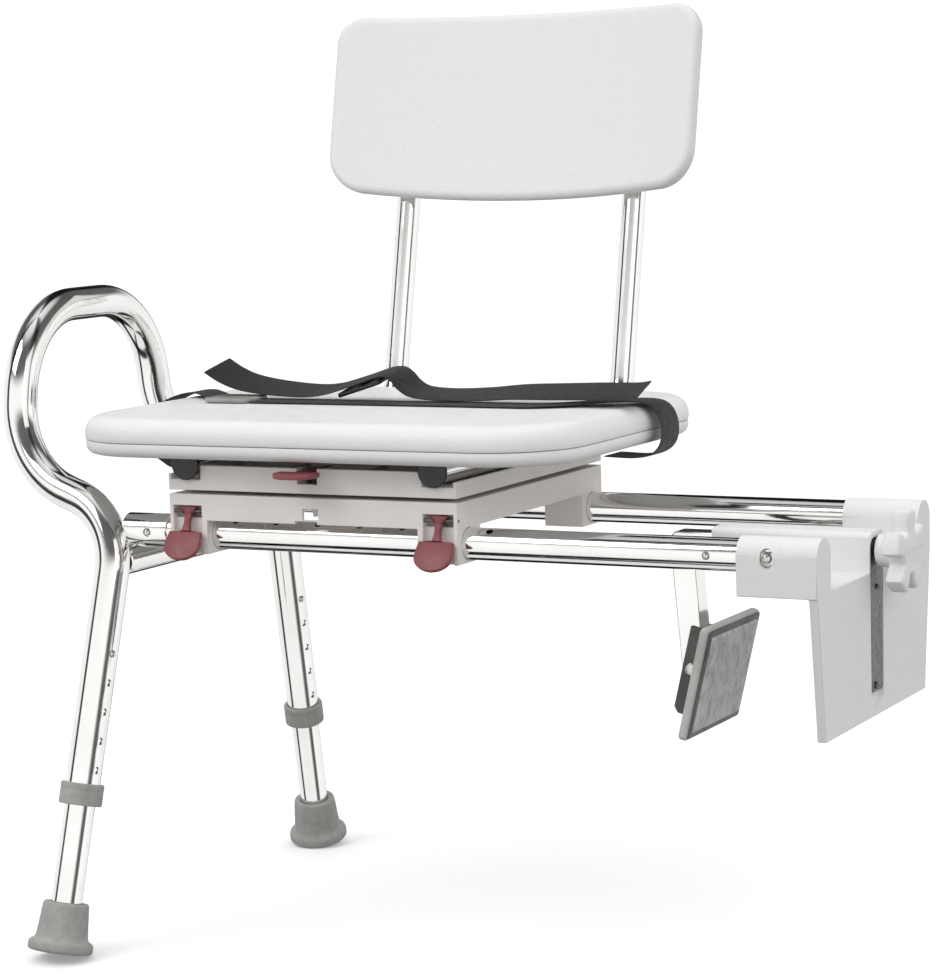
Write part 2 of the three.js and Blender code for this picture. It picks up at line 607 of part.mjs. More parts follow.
// ---------------------------------------------------------------- slide locks
// A wedge-shaped head at the pivot, a neck that flares at its foot, and a broad paddle that kicks outwards.
const mirrored = (side) => [...side, ...side.map(([x, z]) => [-x, z]).reverse()];
const leverHead = mirrored([
  [-3.2, -4],
  [-4.6, -1.6],
  [-7.2, 0.8],
  [-9.6, 3],
  [-10.2, 4.4],
]);
const leverNeck = mirrored([
  [-4.8, -LEVER.neck - 1],
  [-3.4, -LEVER.neck + 6],
  [-2.9, -LEVER.neck + 9],
  [-3.3, 0],
]);
const leverPaddle = mirrored([
  ...Array.from({ length: 8 }, (_, k) => {
    const a = (Math.PI * k) / 14;
    return [-18.4 * Math.sin(a), -14.5 - 13.5 * Math.cos(a)];
  }),
  [-18.3, -9],
  [-16.8, 0],
]).slice(0, -1);
for (const [end, x] of LEVERS) {
  // Built hanging straight down from its pivot, then tipped outwards.
  const t = LEVER.thick / 2;
  const paddle = slab(leverPaddle, "y", -t, t).rotate([-LEVER.kick, 0, 0]);
  let lever = join(
    slab(leverHead, "y", -t, t),
    slab(leverNeck, "y", -t, t),
    cylinderX(0, 0, 3.1, -4.4, 4.4, 14),
    paddle.translate([0, -0.3, -LEVER.neck]),
  );
  lever = lever.rotate([-LEVER.tilt, 0, 0]);
  const finger = box([-4, 4], [1.5, 8.5], [1.2, 4]);
  lever = lever.add(finger).subtract(rod([-20, 0, 0], [20, 0, 0], 1.8, 10));
  lever = lever.translate([x, LEVER.pivotY, LEVER.pivotZ]);
  add(`slide_lock_lever_${end}`, lever, RED);

  add(`slide_lock_pin_${end}`, rod(...lockWay(PIN.near, PIN.far)(x), PIN.r, 12), STEEL);
  add(`lever_pivot_pin_${end}`, cylinderX(LEVER.pivotY, LEVER.pivotZ, 1.5, x - 19, x + 19, 10), STEEL);
}

// ---------------------------------------------------------------- swivel
const ringProfile = (z0, z1) => [
  [60, z0],
  [90, z0],
  [90, z1],
  [60, z1],
  [60, z0],
];
const centre = [CARRIAGE.x, 0, 0];
const above = [CARRIAGE.x, 0, 1];
add("swivel_bearing_lower_race", turned(ringProfile(418.3, 419.7), centre, above, 32), STEEL);
add("swivel_bearing_upper_race", turned(ringProfile(420, 421.4), centre, above, 32), STEEL);
const boltProfile = [
  [0, 391],
  [10, 391],
  [10, 396.7],
  [6, 396.7],
  [6, 427],
  [10, 427],
  [10, 432],
  [0, 432],
];
add("swivel_centre_bolt", turned(boltProfile, centre, above, 16), STEEL);

const deck = UPPER.bottom + UPPER.plate;
let upper = box([trayX0, trayX1], [-trayY, trayY], [UPPER.bottom, UPPER.top]);
upper = upper.subtract(box([114.5, 333.5], [-trayY + UPPER.wall, trayY - UPPER.wall], [deck, 450]));
for (const x of [CARRIAGE.x - 40, CARRIAGE.x + 40])
  upper = upper.add(box([x - 1.5, x + 1.5], [-trayY + 1, trayY - 1], [deck - 1, UPPER.top - 4]));
for (const y of [-80, 80])
  upper = upper.add(box([112, 336], [y - 1.5, y + 1.5], [deck - 1, UPPER.top - 4]));
upper = upper.add(rod([CARRIAGE.x, 0, deck - 1], [CARRIAGE.x, 0, UPPER.top - 8], 18, 20));
for (const side of [-1, 1]) {
  const [inner, outer] = [CARRIAGE.x + side * 114, CARRIAGE.x + side * 145];
  const channel = side > 0 ? [inner, outer] : [outer, inner];
  const lip = side > 0 ? [outer, outer + 4] : [outer - 4, outer];
  upper = cut(
    upper,
    box(channel, [-trayY - 1, trayY + 1], [431.5, 450]),
    box(lip, [-trayY - 1, trayY + 1], [436.5, 450]),
  );
}
// Ears that carry the pin of the swivel lock lever.
for (const [x0, x1] of [
  [208, 212.5],
  [235.5, 240],
])
  upper = upper.add(box([x0, x1], [-trayY + 1, SWIVEL_LEVER.pivotY + 6], [deck - 1, UPPER.top]));
const lockX = CARRIAGE.x;
upper = cut(
  upper,
  box([212, 232], [-trayY - 1, -trayY + UPPER.wall + 1], [430.5, 450]),
  cylinderX(SWIVEL_LEVER.pivotY, SWIVEL_LEVER.z, 1.8, 205, 243, 10),
  rod([lockX, SWIVEL_LEVER.pinY, 415], [lockX, SWIVEL_LEVER.pinY, 440], SWIVEL_LEVER.pinR + GAP, 12),
  rod([CARRIAGE.x, 0, 415], [CARRIAGE.x, 0, 440], 6.4, 16),
  rod([CARRIAGE.x, 0, deck], [CARRIAGE.x, 0, 450], 11, 16),
);
add("upper_tray", upper, WHITE);

const gripOutline = [
  [-SWIVEL_LEVER.grip, -168],
  [SWIVEL_LEVER.grip, -168],
  [SWIVEL_LEVER.grip, -178],
  ...Array.from({ length: 15 }, (_, k) => {
    const a = (-Math.PI * (k + 0.5)) / 15;
    return [SWIVEL_LEVER.grip * Math.cos(a), -178 + 16 * Math.sin(a)];
  }),
  [-SWIVEL_LEVER.grip, -178],
].map(([x, y]) => [CARRIAGE.x + x, y]);
const leverZ = [SWIVEL_LEVER.z - SWIVEL_LEVER.half, SWIVEL_LEVER.z + SWIVEL_LEVER.half];
let swivelLever = join(
  slab(gripOutline.reverse(), "z", ...leverZ),
  box([CARRIAGE.x - 6, CARRIAGE.x + 6], [-172, -137], leverZ),
  box([CARRIAGE.x - 4, CARRIAGE.x + 4], [-138, -116], [SWIVEL_LEVER.z - 2, SWIVEL_LEVER.z + 2]),
  cylinderX(SWIVEL_LEVER.pivotY, SWIVEL_LEVER.z, 3.2, CARRIAGE.x - 6, CARRIAGE.x + 6, 14),
);
swivelLever = swivelLever.subtract(cylinderX(SWIVEL_LEVER.pivotY, SWIVEL_LEVER.z, 1.8, 205, 243, 10));
add("swivel_lock_lever", swivelLever, RED);
const swivelPin = [lockX, SWIVEL_LEVER.pinY];
const pinTop = SWIVEL_LEVER.z - 2.6;
add("swivel_lock_pin", rod([...swivelPin, 419.4], [...swivelPin, pinTop], SWIVEL_LEVER.pinR, 12), STEEL);
const swivelPivot = cylinderX(SWIVEL_LEVER.pivotY, SWIVEL_LEVER.z, 1.5, 208.3, 239.7, 10);
add("swivel_lever_pivot_pin", swivelPivot, STEEL);

// ---------------------------------------------------------------- seat
// A slab with rounded corners whose long edges are rounded over by "bevel" above and below.
function cushion(halfX, halfY, corner, z0, z1, bevel) {
  const shape = roundedRect(CARRIAGE.x, 0, halfX - bevel, halfY - bevel, Math.max(corner - bevel, 2));
  const geometry = new THREE.ExtrudeGeometry(shape, {
    depth: z1 - z0 - 2 * bevel,
    bevelThickness: bevel,
    bevelSize: bevel,
    bevelSegments: 3,
    curveSegments: 4,
  });
  return solid(geometry.translate(0, 0, z0 + bevel));
}
const everywhere = [-1000, 2000];
const aboveZ = (z) => box(everywhere, everywhere, [z, 2000]);
const belowZ = (z) => box(everywhere, everywhere, [-1000, z]);
const { wall } = SEAT;
const topShell = cushion(SEAT.halfX, SEAT.halfY, SEAT.corner, SEAT.bottom - 10, SEAT.top, 14);
const topHollow = slab(
  roundedRect(CARRIAGE.x, 0, SEAT.halfX - 8, SEAT.halfY - 8, SEAT.corner - 8),
  "z",
  SEAT.bottom,
  SEAT.top - wall - 1,
);
add("seat_top", cut(topShell, belowZ(SEAT.parting + GAP / 2), topHollow), SEAT_GREY);

const baseShell = cushion(SEAT.halfX - 0.4, SEAT.halfY - 0.4, SEAT.corner, SEAT.bottom, SEAT.top, 8);
const baseHollow = slab(
  roundedRect(CARRIAGE.x, 0, SEAT.halfX - 9, SEAT.halfY - 9, SEAT.corner - 9),
  "z",
  SEAT.bottom + 9.5,
  SEAT.top,
);
let seatBase = cut(baseShell, aboveZ(SEAT.parting - GAP / 2), baseHollow);
const POSTS = bothSides(POST.x);
for (const [, x] of POSTS)
  seatBase = seatBase.subtract(rod([x, -166, POST.z], [x, 400, POST.z], PLUG.rim + 0.5, 20));
add("seat_base", seatBase, SEAT_GREY);

// ---------------------------------------------------------------- back posts and panel
const postY = (z) => POST.backY + POST.recline * (z - POST.backZ);
for (const [end, x] of POSTS) {
  const line = new BentLine(
    [V(x, POST.front, POST.z), V(x, postY(POST.z), POST.z), V(x, postY(POST.top), POST.top)],
    [BEND.post],
  );
  add(`back_post_${end}`, tube(line, POST.r, POST.r - WALL), CHROME);
  const bore = POST.r - WALL - GAP;
  const plug = [
    [0, 0],
    [PLUG.rim - 1, 0],
    [PLUG.rim, 1],
    [PLUG.rim, PLUG.thick],
    [bore, PLUG.thick],
    [bore, 18],
    [0, 18],
  ];
  const face = POST.front - PLUG.thick - GAP;
  add(`post_plug_${end}`, turned(plug, [x, face, POST.z], [x, 0, POST.z], 20), BLACK);
}

// The panel is a band of a wide upright cylinder, cut to its outline, leant back with the posts.
const lean = THREE.MathUtils.radToDeg(Math.atan(POST.recline));
const panelX = CARRIAGE.x + PANEL.x;
function band(inner, outer) {
  const half = Math.asin((PANEL.width / 2 + 20) / PANEL.radius);
  const arc = (r, from, to) =>
    Array.from({ length: 9 }, (_, k) => {
      const a = from + ((to - from) * k) / 8;
      return [panelX + r * Math.sin(a), -PANEL.radius + r * Math.cos(a)];
    });
  return slab([...arc(outer, half, -half), ...arc(inner, -half, half)], "z", -200, 200);
}
// The outline droops a little towards the middle of its lower edge.
function panelOutline(inset) {
  const [w, h] = [PANEL.width / 2 - inset, PANEL.height / 2 - inset];
  const [low, high] = [PANEL_EDGE.bottom - inset, PANEL_EDGE.top - inset];
  const shape = new THREE.Shape();
  shape.moveTo(panelX - w + low, PANEL_EDGE.droop - h);
  shape.quadraticCurveTo(panelX, -h - PANEL_EDGE.droop, panelX + w - low, PANEL_EDGE.droop - h);
  shape.absarc(panelX + w - low, low + PANEL_EDGE.droop - h, low, -Math.PI / 2, 0);
  shape.lineTo(panelX + w, h - high);
  shape.absarc(panelX + w - high, h - high, high, 0, Math.PI / 2);
  shape.lineTo(panelX - w + high, h);
  shape.absarc(panelX - w + high, h - high, high, Math.PI / 2, Math.PI);
  shape.lineTo(panelX - w, low + PANEL_EDGE.droop - h);
  shape.absarc(panelX - w + low, low + PANEL_EDGE.droop - h, low, Math.PI, Math.PI * 1.5);
  return shape;
}
// Depths are measured back from the panel's front face at its middle.
function panelPiece(inset, from, to) {
  const block = slab(panelOutline(inset), "y", -200, 200);
  return block.intersect(band(PANEL.radius + from, PANEL.radius + to));
}
// The posts meet the back of the panel on either side of its middle, where it has curved forwards.
const backRadius = PANEL.radius + PANEL.thick;
const sagAtPosts = backRadius - Math.sqrt(backRadius ** 2 - POST.x ** 2);
function placed(body) {
  const forward = POST.r / Math.cos(rad(lean)) + PANEL.thick - sagAtPosts + 0.6;
  return body.rotate([-lean, 0, 0]).translate([0, postY(PANEL.z) - forward, PANEL.z]);
}
const mid = PANEL.thick * 0.6;
const frontPiece = join(panelPiece(4, 0, 4), panelPiece(1.2, 1.5, mid), panelPiece(0, 4, mid));
add("backrest_front", placed(frontPiece), SEAT_GREY);
const rearPiece = join(panelPiece(0.6, mid + GAP, PANEL.thick - 4), panelPiece(4, mid + GAP, PANEL.thick));
add("backrest_rear", placed(rearPiece), SEAT_GREY);

// ---------------------------------------------------------------- lap belt
// A webbing strap laid along [x, z] points, square to them by its thickness, across Y by its width.
// Its middle follows middleAt(x) from side to side.
function webbing(points, middleAt) {
  const { half: halfWidth, thick } = RIBBON;
  const sides = points.map(([x, z], i) => {
    const a = points[Math.max(i - 1, 0)];
    const b = points[Math.min(i + 1, points.length - 1)];
    const across = new THREE.Vector2(a[1] - b[1], b[0] - a[0]).setLength(thick / 2);
    return [
      [x + across.x, z + across.y],
      [x - across.x, z - across.y],
    ];
  });
  const outline = [...sides.map(([, below]) => below), ...sides.map(([above]) => above).reverse()];
  const geometry = slabGeometry(outline, "y", -halfWidth, halfWidth);
  const places = geometry.attributes.position;
  for (let i = 0; i < places.count; i++)
    places.setY(i, places.getY(i) + middleAt(places.getX(i)));
  return solid(geometry);
}
const { smoothstep } = THREE.MathUtils;
// The belt comes up at the ends of the seat and lies nearer to its front in between.
function beltMiddle(x) {
  const onSeat = smoothstep(x, -20, 70) * (1 - smoothstep(x, 370, 480));
  return RIBBON.endY + (RIBBON.seatY - RIBBON.endY) * onSeat;
}
const lid = SEAT.top + 1.2;
const rightStrap = [
  [BUCKLE.x + BUCKLE.halfX + 1, lid],
  [150, lid],
  [220, lid],
  [300, lid],
  [370, lid],
  [390, lid + 0.4],
  [410, lid + 1],
  [440, lid + 1.9],
  [468, lid + 1.3],
  [481, 487],
  [488, 477],
  [490, 464],
  [487, 452],
  [478, 444],
  [462, 441],
  [440, 443],
];
const leftStrap = [
  [-8, 424],
  [-32, 418.5],
  [-48, 425.5],
  [-60, 434.5],
  [-65, 447],
  [-59, 465],
  [-46, 481],
  [-28, 489.5],
  [-8, 493],
  [12, lid + 2.2],
  [BUCKLE.x - BUCKLE.halfX - 1, lid],
];
// The strap above them runs through the slider, with a cut end in the air at either end of the seat.
const looseStrap = [
  [28, 519],
  [44, 510],
  [62, 503.5],
  [85, 499.5],
  [115, 497],
  [140, 496.5],
  [158, 498.6],
  [172, 502.2],
  [196, 509.6],
  [213, 515],
  [224, 516],
  [231, 512],
  [239, 504],
  [250, 498],
  [268, 495.6],
  [290, 495],
  [320, 495.8],
  [354, 498],
  [396, 498.6],
  [436, 499.4],
  [466, 500],
  [480, 502],
];
add("belt_strap_right", webbing(rightStrap, beltMiddle), BLACK);
add("belt_strap_left", webbing(leftStrap, beltMiddle), BLACK);
add("belt_strap_loose", webbing(looseStrap, () => RIBBON.looseY), BLACK);

const buckleOutline = roundedRect(BUCKLE.x, RIBBON.seatY, BUCKLE.halfX, BUCKLE.halfY, 8);
add("belt_buckle", slab(buckleOutline, "z", SEAT.top + 0.4, BUCKLE.top), BUCKLE_GREY);

const sliderWindow = (x) => box([x - 7, x + 7], [-18, 18], [-3, 3]);
const slider = cut(
  slab(roundedRect(0, 0, SLIDER.halfX, SLIDER.halfY, 5), "z", -2, 2),
  sliderWindow(-11),
  sliderWindow(11),
);
const tipped = slider.rotate([0, -SLIDER.tilt, 0]).translate([SLIDER.x, RIBBON.looseY, SLIDER.z]);
add("belt_adjuster", tipped, BLACK);

// ---------------------------------------------------------------- onto the origin
const bounds = new THREE.Box3().setFromObject(bench);
const middle = bounds.getCenter(new THREE.Vector3());
for (const mesh of bench.children) mesh.geometry.translate(-middle.x, -middle.y, -bounds.min.z);

export default bench;
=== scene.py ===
"""The bath transfer bench over its CAD frame: smooth chromed tubes, moulded plastic, rubber and webbing.

Shapes are given in millimetres on the bench's own datum (x = 0 beside the legs, y = 0 halfway
between the rails, z = 0 near the floor), and at() turns them into metres in the frame.
"""

import json
import math

import bmesh
import bpy
from mathutils import Matrix, Vector
from mathutils.geometry import tessellate_polygon


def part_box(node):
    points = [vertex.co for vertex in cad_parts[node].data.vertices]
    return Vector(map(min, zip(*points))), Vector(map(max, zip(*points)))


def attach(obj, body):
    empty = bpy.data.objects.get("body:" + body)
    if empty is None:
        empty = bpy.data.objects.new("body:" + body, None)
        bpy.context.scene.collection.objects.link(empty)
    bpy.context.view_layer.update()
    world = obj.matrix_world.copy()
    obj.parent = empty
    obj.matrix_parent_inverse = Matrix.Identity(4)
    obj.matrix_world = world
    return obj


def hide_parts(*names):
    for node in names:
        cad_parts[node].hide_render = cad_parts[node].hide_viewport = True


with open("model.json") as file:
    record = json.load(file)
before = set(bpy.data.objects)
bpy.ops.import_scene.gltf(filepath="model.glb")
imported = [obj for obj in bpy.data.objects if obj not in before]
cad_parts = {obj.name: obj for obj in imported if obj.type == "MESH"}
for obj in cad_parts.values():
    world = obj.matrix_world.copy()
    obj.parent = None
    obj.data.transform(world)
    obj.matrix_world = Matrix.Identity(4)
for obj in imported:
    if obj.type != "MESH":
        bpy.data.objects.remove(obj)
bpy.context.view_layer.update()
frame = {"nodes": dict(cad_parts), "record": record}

# ------------------------------------------------------------------ the frame
MM = 0.001
RECORD = frame["record"]
BODY = {node: body for body, nodes in RECORD["behaviour"]["bodies"].items() for node in nodes}
SLOT = {part["node"]: part["material_slot"] for part in RECORD["subparts"]}

RAIL_START, RAIL_Z = 34, 380
front_lo, front_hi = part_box("front_rail")
rear_lo, rear_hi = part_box("rear_rail")
DATUM = Vector(
    (
        front_lo.x - RAIL_START * MM,
        (front_lo.y + rear_hi.y) / 2,
        (front_lo.z + front_hi.z) / 2 - RAIL_Z * MM,
    )
)


def at(x, y, z):
    """A point of the bench, in metres in the frame."""
    return DATUM + Vector((x, y, z)) * MM


# ------------------------------------------------------------------ sizes, in millimetres
ENDS = (("front", -1), ("rear", 1))
WALL = 1.5
RAIL_Y, RAIL_R, RAIL_END = 131, 14.3, 690
STUB_R, STUB_BORE, STUB_START, STUB_END = 15.9, 14.6, 18, 66
LEG_X, LEG_Y, LEAN_X, LEAN_Y = 13.7, 146.4, 0.0528, 0.248
FRAME_R, LEG_BOTTOM = 15.9, 140
LOOP_KNEE, LOOP_HEEL, LOOP_TOP = (14.4, 143.2, 393), (-110, 127, 434), (-111, 103, 583)
LOOP_BENDS = (70, 90, 92)
CROSS_X, CROSS_Z, CROSS_R = 12, 350, 12.7
INNER_R, INNER_BOTTOM, INNER_TOP = 14, 8, 300
COLLAR_BOTTOM, FOOT_BOTTOM = 133, 1.6
HOLE_FIRST, HOLE_PITCH, HOLE_COUNT, HOLE_R = 270, 26.2, 5, 3.4
INDEX_FIRST, INDEX_PITCH, INDEX_COUNT, INDEX_R, INDEX_TILT = 95, 43, 8, 3.2, math.radians(30)
BUTTONS = {"rail": (46, 3.6), "stop": (602, 3.2), "sleeve": (657, 4.2)}
BUTTON_PLAY, BUTTON_TURN = 0.4, math.radians(14)
SEAT_X, SEAT_HALF, SEAT_CORNER = 224, (253, 185), 79
SEAT_BOTTOM, SEAT_PARTING, SEAT_TOP = 453, 466, 489
POST_R, POST_X, POST_Z, POST_FRONT, POST_TOP = 11.7, 127, 445.5, -155.5, 800
PLUG_R, PLUG_T, LEVER_X = 14.2, 2.6, 129
RECLINE = 0.217
PANEL_W, PANEL_H, PANEL_T, PANEL_Z, PANEL_R = 404, 190, 22, 764, 900
PANEL_TOP_R, PANEL_LOW_R, PANEL_DROOP, PANEL_X = 29, 40, 6.5, 225
RACE_INNER, RACE_OUTER = 60, 90
SCREW_Z, SCREW_START, SCREW_END, SCREW_R = 369, 620, 716, 4.95
THREAD_PITCH, THREAD_DEPTH, THREAD_SIDES, THREAD_STEPS = 3.0, 0.9, 36, 6
PIVOT_X, PIVOT_Z, PAD_TILT, PAD_HALF = 532.5, 256.5, math.radians(13.5), (62, 52)
BELT_END_Y, BELT_SEAT_Y, BELT_LOOSE_Y, BELT_HALF, BELT_THICK = 47, -8, 14, 20, 1.6
BELT_HINGE, BELT_REST_Z = 0.45, SEAT_TOP + 1.2  # the middle of the lower strap, where the seat carries it
SLIDER_X, SLIDER_Z, SLIDER_TILT = 196, 504.5, math.radians(-17)
BROAD_FACE = 900  # square millimetres: a flat face this large keeps its own normal
FLOOR_HALF = 6.0  # metres

# ------------------------------------------------------------------ the view, in degrees and millimetres
VIEW_AZIMUTH, VIEW_ELEVATION, VIEW_ROLL = 27.0, 6.8, -1.58
VIEW_PLACE, VIEW_LENS = (1560.9, -2459.8, 741.7), 110.88


# ------------------------------------------------------------------ materials
class Look:
    """A node material being built: every pattern reads the piece's own coordinates, in metres."""

    def __init__(self, name, colour, roughness, metallic=0.0):
        self.material = bpy.data.materials.new(name)
        self.material.use_nodes = True
        self.nodes = self.material.node_tree.nodes
        self.links = self.material.node_tree.links
        self.shader = self.nodes["Principled BSDF"]
        self.shader.inputs["Base Color"].default_value = (*colour, 1)
        self.shader.inputs["Roughness"].default_value = roughness
        self.shader.inputs["Metallic"].default_value = metallic
        self.place = self.nodes.new("ShaderNodeTexCoord").outputs["Object"]
        self.normal = None

    def stretched(self, x, y, z):
        mapping = self.nodes.new("ShaderNodeMapping")
        mapping.inputs["Scale"].default_value = (x, y, z)
        self.links.new(self.place, mapping.inputs["Vector"])
        return mapping.outputs["Vector"]

    def noise(self, size, detail=3, rough=0.5, place=None):
        """Noise whose features are about size millimetres wide, from 0 to 1."""
        node = self.nodes.new("ShaderNodeTexNoise")
        node.inputs["Scale"].default_value = 1 / (size * MM)
        node.inputs["Detail"].default_value = detail
        node.inputs["Roughness"].default_value = rough
        self.links.new(place or self.place, node.inputs["Vector"])
        return node.outputs["Fac"]

    def cells(self, size, place=None):
        node = self.nodes.new("ShaderNodeTexVoronoi")
        node.inputs["Scale"].default_value = 1 / (size * MM)
        self.links.new(place or self.place, node.inputs["Vector"])
        return node.outputs["Distance"]

    def ribs(self, pitch, axis):
        """Rounded ribs across one axis, pitch millimetres apart."""
        node = self.nodes.new("ShaderNodeTexWave")
        node.bands_direction = axis
        node.inputs["Scale"].default_value = 0.314 / (pitch * MM)
        node.inputs["Distortion"].default_value = 0
        self.links.new(self.place, node.inputs["Vector"])
        return node.outputs["Fac"]

    def mapped(self, value, low, high, start=0.3, end=0.7):
        node = self.nodes.new("ShaderNodeMapRange")
        node.inputs["From Min"].default_value = start
        node.inputs["From Max"].default_value = end
        node.inputs["To Min"].default_value = low
        node.inputs["To Max"].default_value = high
        self.links.new(value, node.inputs["Value"])
        return node.outputs["Result"]

    def tint(self, value, first, second, start=0.3, end=0.7):
        """Base colour running from first to second as value runs from start to end."""
        ramp = self.nodes.new("ShaderNodeValToRGB")
        ramp.color_ramp.elements[0].position = start
        ramp.color_ramp.elements[0].color = (*first, 1)
        ramp.color_ramp.elements[1].position = end
        ramp.color_ramp.elements[1].color = (*second, 1)
        self.links.new(value, ramp.inputs["Fac"])
        self.links.new(ramp.outputs["Color"], self.shader.inputs["Base Color"])
        return self

    def rough(self, value, low, high, start=0.3, end=0.7):
        self.links.new(self.mapped(value, low, high, start, end), self.shader.inputs["Roughness"])
        return self

    def bump(self, value, height, strength=1.0):
        """Relief about height millimetres deep, over any relief already there."""
        node = self.nodes.new("ShaderNodeBump")
        node.inputs["Distance"].default_value = height * MM
        node.inputs["Strength"].default_value = strength
        self.links.new(value, node.inputs["Height"])
        if self.normal:
            self.links.new(self.normal, node.inputs["Normal"])
        self.normal = node.outputs["Normal"]
        self.links.new(self.normal, self.shader.inputs["Normal"])
        return self


def plating():
    look = Look("chrome_tube", (0.87, 0.865, 0.85), 0.08, 1.0)
    look.tint(look.noise(60), (0.84, 0.835, 0.815), (0.9, 0.895, 0.88))
    look.rough(look.noise(18, 6, 0.65), 0.045, 0.16)
    return look.bump(look.noise(9, 2), 0.02, 0.35)


def satin_steel(name, light, dark, low, high):
    look = Look(name, light, 0.3, 1.0)
    look.tint(look.noise(4, 5), dark, light)
    look.rough(look.noise(1.2, 4), low, high)
    return look.bump(look.noise(0.6, 3), 0.02, 0.5)


def moulded(name, light, dark, roughness, grain, depth):
    """Moulded plastic: pebbled grain over slow mottling, scuffed a little glossier in places."""
    look = Look(name, light, roughness)
    look.tint(look.noise(35, 4), dark, light)
    look.rough(look.noise(14, 5), roughness - 0.09, roughness + 0.09)
    look.bump(look.noise(45, 2), 0.25, 0.3)
    look.bump(look.cells(grain), depth, 0.6)
    return look.bump(look.noise(grain * 0.6, 4, 0.7), depth, 0.5)


def speckled(name, light, dark, roughness, grain, depth):
    """Grained plastic whose grain also shows as fine grey speckle in its colour."""
    look = moulded(name, light, dark, roughness, grain, depth)
    look.tint(look.noise(grain * 1.4, 8, 0.8), dark, light, 0.36, 0.56)
    return look


def rubber(name, light, dark):
    look = Look(name, light, 0.75)
    look.tint(look.noise(11, 6, 0.7), dark, light)
    look.rough(look.noise(7, 5), 0.6, 0.9)
    look.bump(look.noise(0.9, 5, 0.7), 0.06, 0.7)
    return look.bump(look.noise(16, 2), 0.3, 0.3)


def grip_pad():
    """A worn grip pad: smeared grey marks over fine cloth-like grain."""
    look = Look("pad_rubber", (0.62, 0.62, 0.6), 0.6)
    smear = look.noise(9, 8, 0.8, look.stretched(1, 1, 0.6))
    look.tint(smear, (0.42, 0.42, 0.405), (0.78, 0.78, 0.765), 0.36, 0.56)
    look.rough(look.noise(5, 5), 0.45, 0.75)
    return look.bump(look.cells(1.1), 0.08, 0.7)


def webbing():
    """Woven nylon: ribs along the strap, crossed by the picks of the weave."""
    look = Look("belt_webbing", (0.012, 0.012, 0.014), 0.7)
    ribs = look.ribs(1.9, "Y")
    look.tint(look.noise(1.1, 4, 0.7), (0.004, 0.004, 0.005), (0.024, 0.024, 0.028), 0.35, 0.7)
    look.rough(look.noise(6, 3), 0.55, 0.8)
    look.shader.inputs["Sheen Weight"].default_value = 0.12
    look.shader.inputs["Sheen Roughness"].default_value = 0.4
    look.bump(ribs, 0.22, 0.9)
    return look.bump(look.cells(0.9), 0.12, 0.7)


LOOKS = {
    "chrome": plating,
    "steel": lambda: satin_steel("bright_steel", (0.72, 0.71, 0.69), (0.5, 0.49, 0.47), 0.16, 0.34),
    "strap_steel": lambda: satin_steel("dull_steel", (0.2, 0.2, 0.19), (0.09, 0.09, 0.085), 0.35, 0.55),
    "tray_plastic": lambda: moulded(
        "tray_plastic", (0.88, 0.835, 0.8), (0.84, 0.795, 0.76), roughness=0.42, grain=0.9, depth=0.03
    ),
    "mount_plastic": lambda: speckled(
        "mount_plastic", (0.84, 0.84, 0.83), (0.72, 0.72, 0.71), roughness=0.6, grain=0.7, depth=0.05
    ),
    "seat_plastic": lambda: speckled(
        "seat_plastic", (0.86, 0.86, 0.855), (0.74, 0.74, 0.735), roughness=0.5, grain=0.8, depth=0.06
    ),
    "grey_rubber": lambda: rubber("grey_rubber", (0.42, 0.42, 0.405), (0.31, 0.31, 0.295)),
    "black_plastic": lambda: moulded(
        "black_plastic", (0.018, 0.02, 0.021), (0.008, 0.009, 0.01), roughness=0.34, grain=0.8, depth=0.03
    ),
    "grey_plastic": lambda: moulded(
        "grey_plastic", (0.36, 0.36, 0.34), (0.2, 0.2, 0.19), roughness=0.36, grain=0.8, depth=0.03
    ),
    "red_plastic": lambda: moulded(
        "red_plastic", (0.3, 0.075, 0.085), (0.24, 0.055, 0.065), roughness=0.4, grain=0.7, depth=0.04
    ),
    "webbing": webbing,
    "pad_dark": lambda: moulded(
        "pad_plastic", (0.16, 0.16, 0.155), (0.08, 0.08, 0.078), roughness=0.5, grain=1.0, depth=0.07
    ),
    "pad_light": lambda: moulded(
        "pad_shell", (0.62, 0.62, 0.6), (0.52, 0.52, 0.5), roughness=0.5, grain=1.0, depth=0.05
    ),
    "pad_rubber": grip_pad,
}
MATERIALS = {slot: make().material for slot, make in LOOKS.items()}


# ------------------------------------------------------------------ mesh helpers
def smooth(mesh, crease=32):
    for polygon in mesh.polygons:
        polygon.use_smooth = True
    mesh.set_sharp_from_angle(angle=math.radians(crease))


def closed_mesh(name, points, faces, crease=32):
    """A mesh object from points in metres, with its faces turned outwards."""
    mesh = bpy.data.meshes.new(name)
    mesh.from_pydata([tuple(p) for p in points], [], faces)
    body = bmesh.new()
    body.from_mesh(mesh)
    bmesh.ops.remove_doubles(body, verts=body.verts, dist=1e-7)
    bmesh.ops.recalc_face_normals(body, faces=body.faces)
    body.to_mesh(mesh)
    body.free()
    smooth(mesh, crease)
    piece = bpy.data.objects.new(name, mesh)
    bpy.context.collection.objects.link(piece)
    return piece


def loft(name, rings, around=False, crease=32):
    """Rings of equally many points joined in order: closed by a fan at both ends, or back onto itself."""
    count = len(rings[0])
    points = [p for ring in rings for p in ring]
    faces = []
    pairs = [(i, i + 1) for i in range(len(rings) - 1)]
    if around:
        pairs.append((len(rings) - 1, 0))
    for a, b in pairs:
        for k in range(count):
            j = (k + 1) % count
            faces.append((a * count + k, a * count + j, b * count + j, b * count + k))
    if not around:
        for ring, start in ((rings[0], 0), (rings[-1], (len(rings) - 1) * count)):
            points.append(sum((Vector(p) for p in ring), Vector()) / count)
            faces += [(start + k, start + (k + 1) % count, len(points) - 1) for k in range(count)]
    return closed_mesh(name, points, faces, crease)


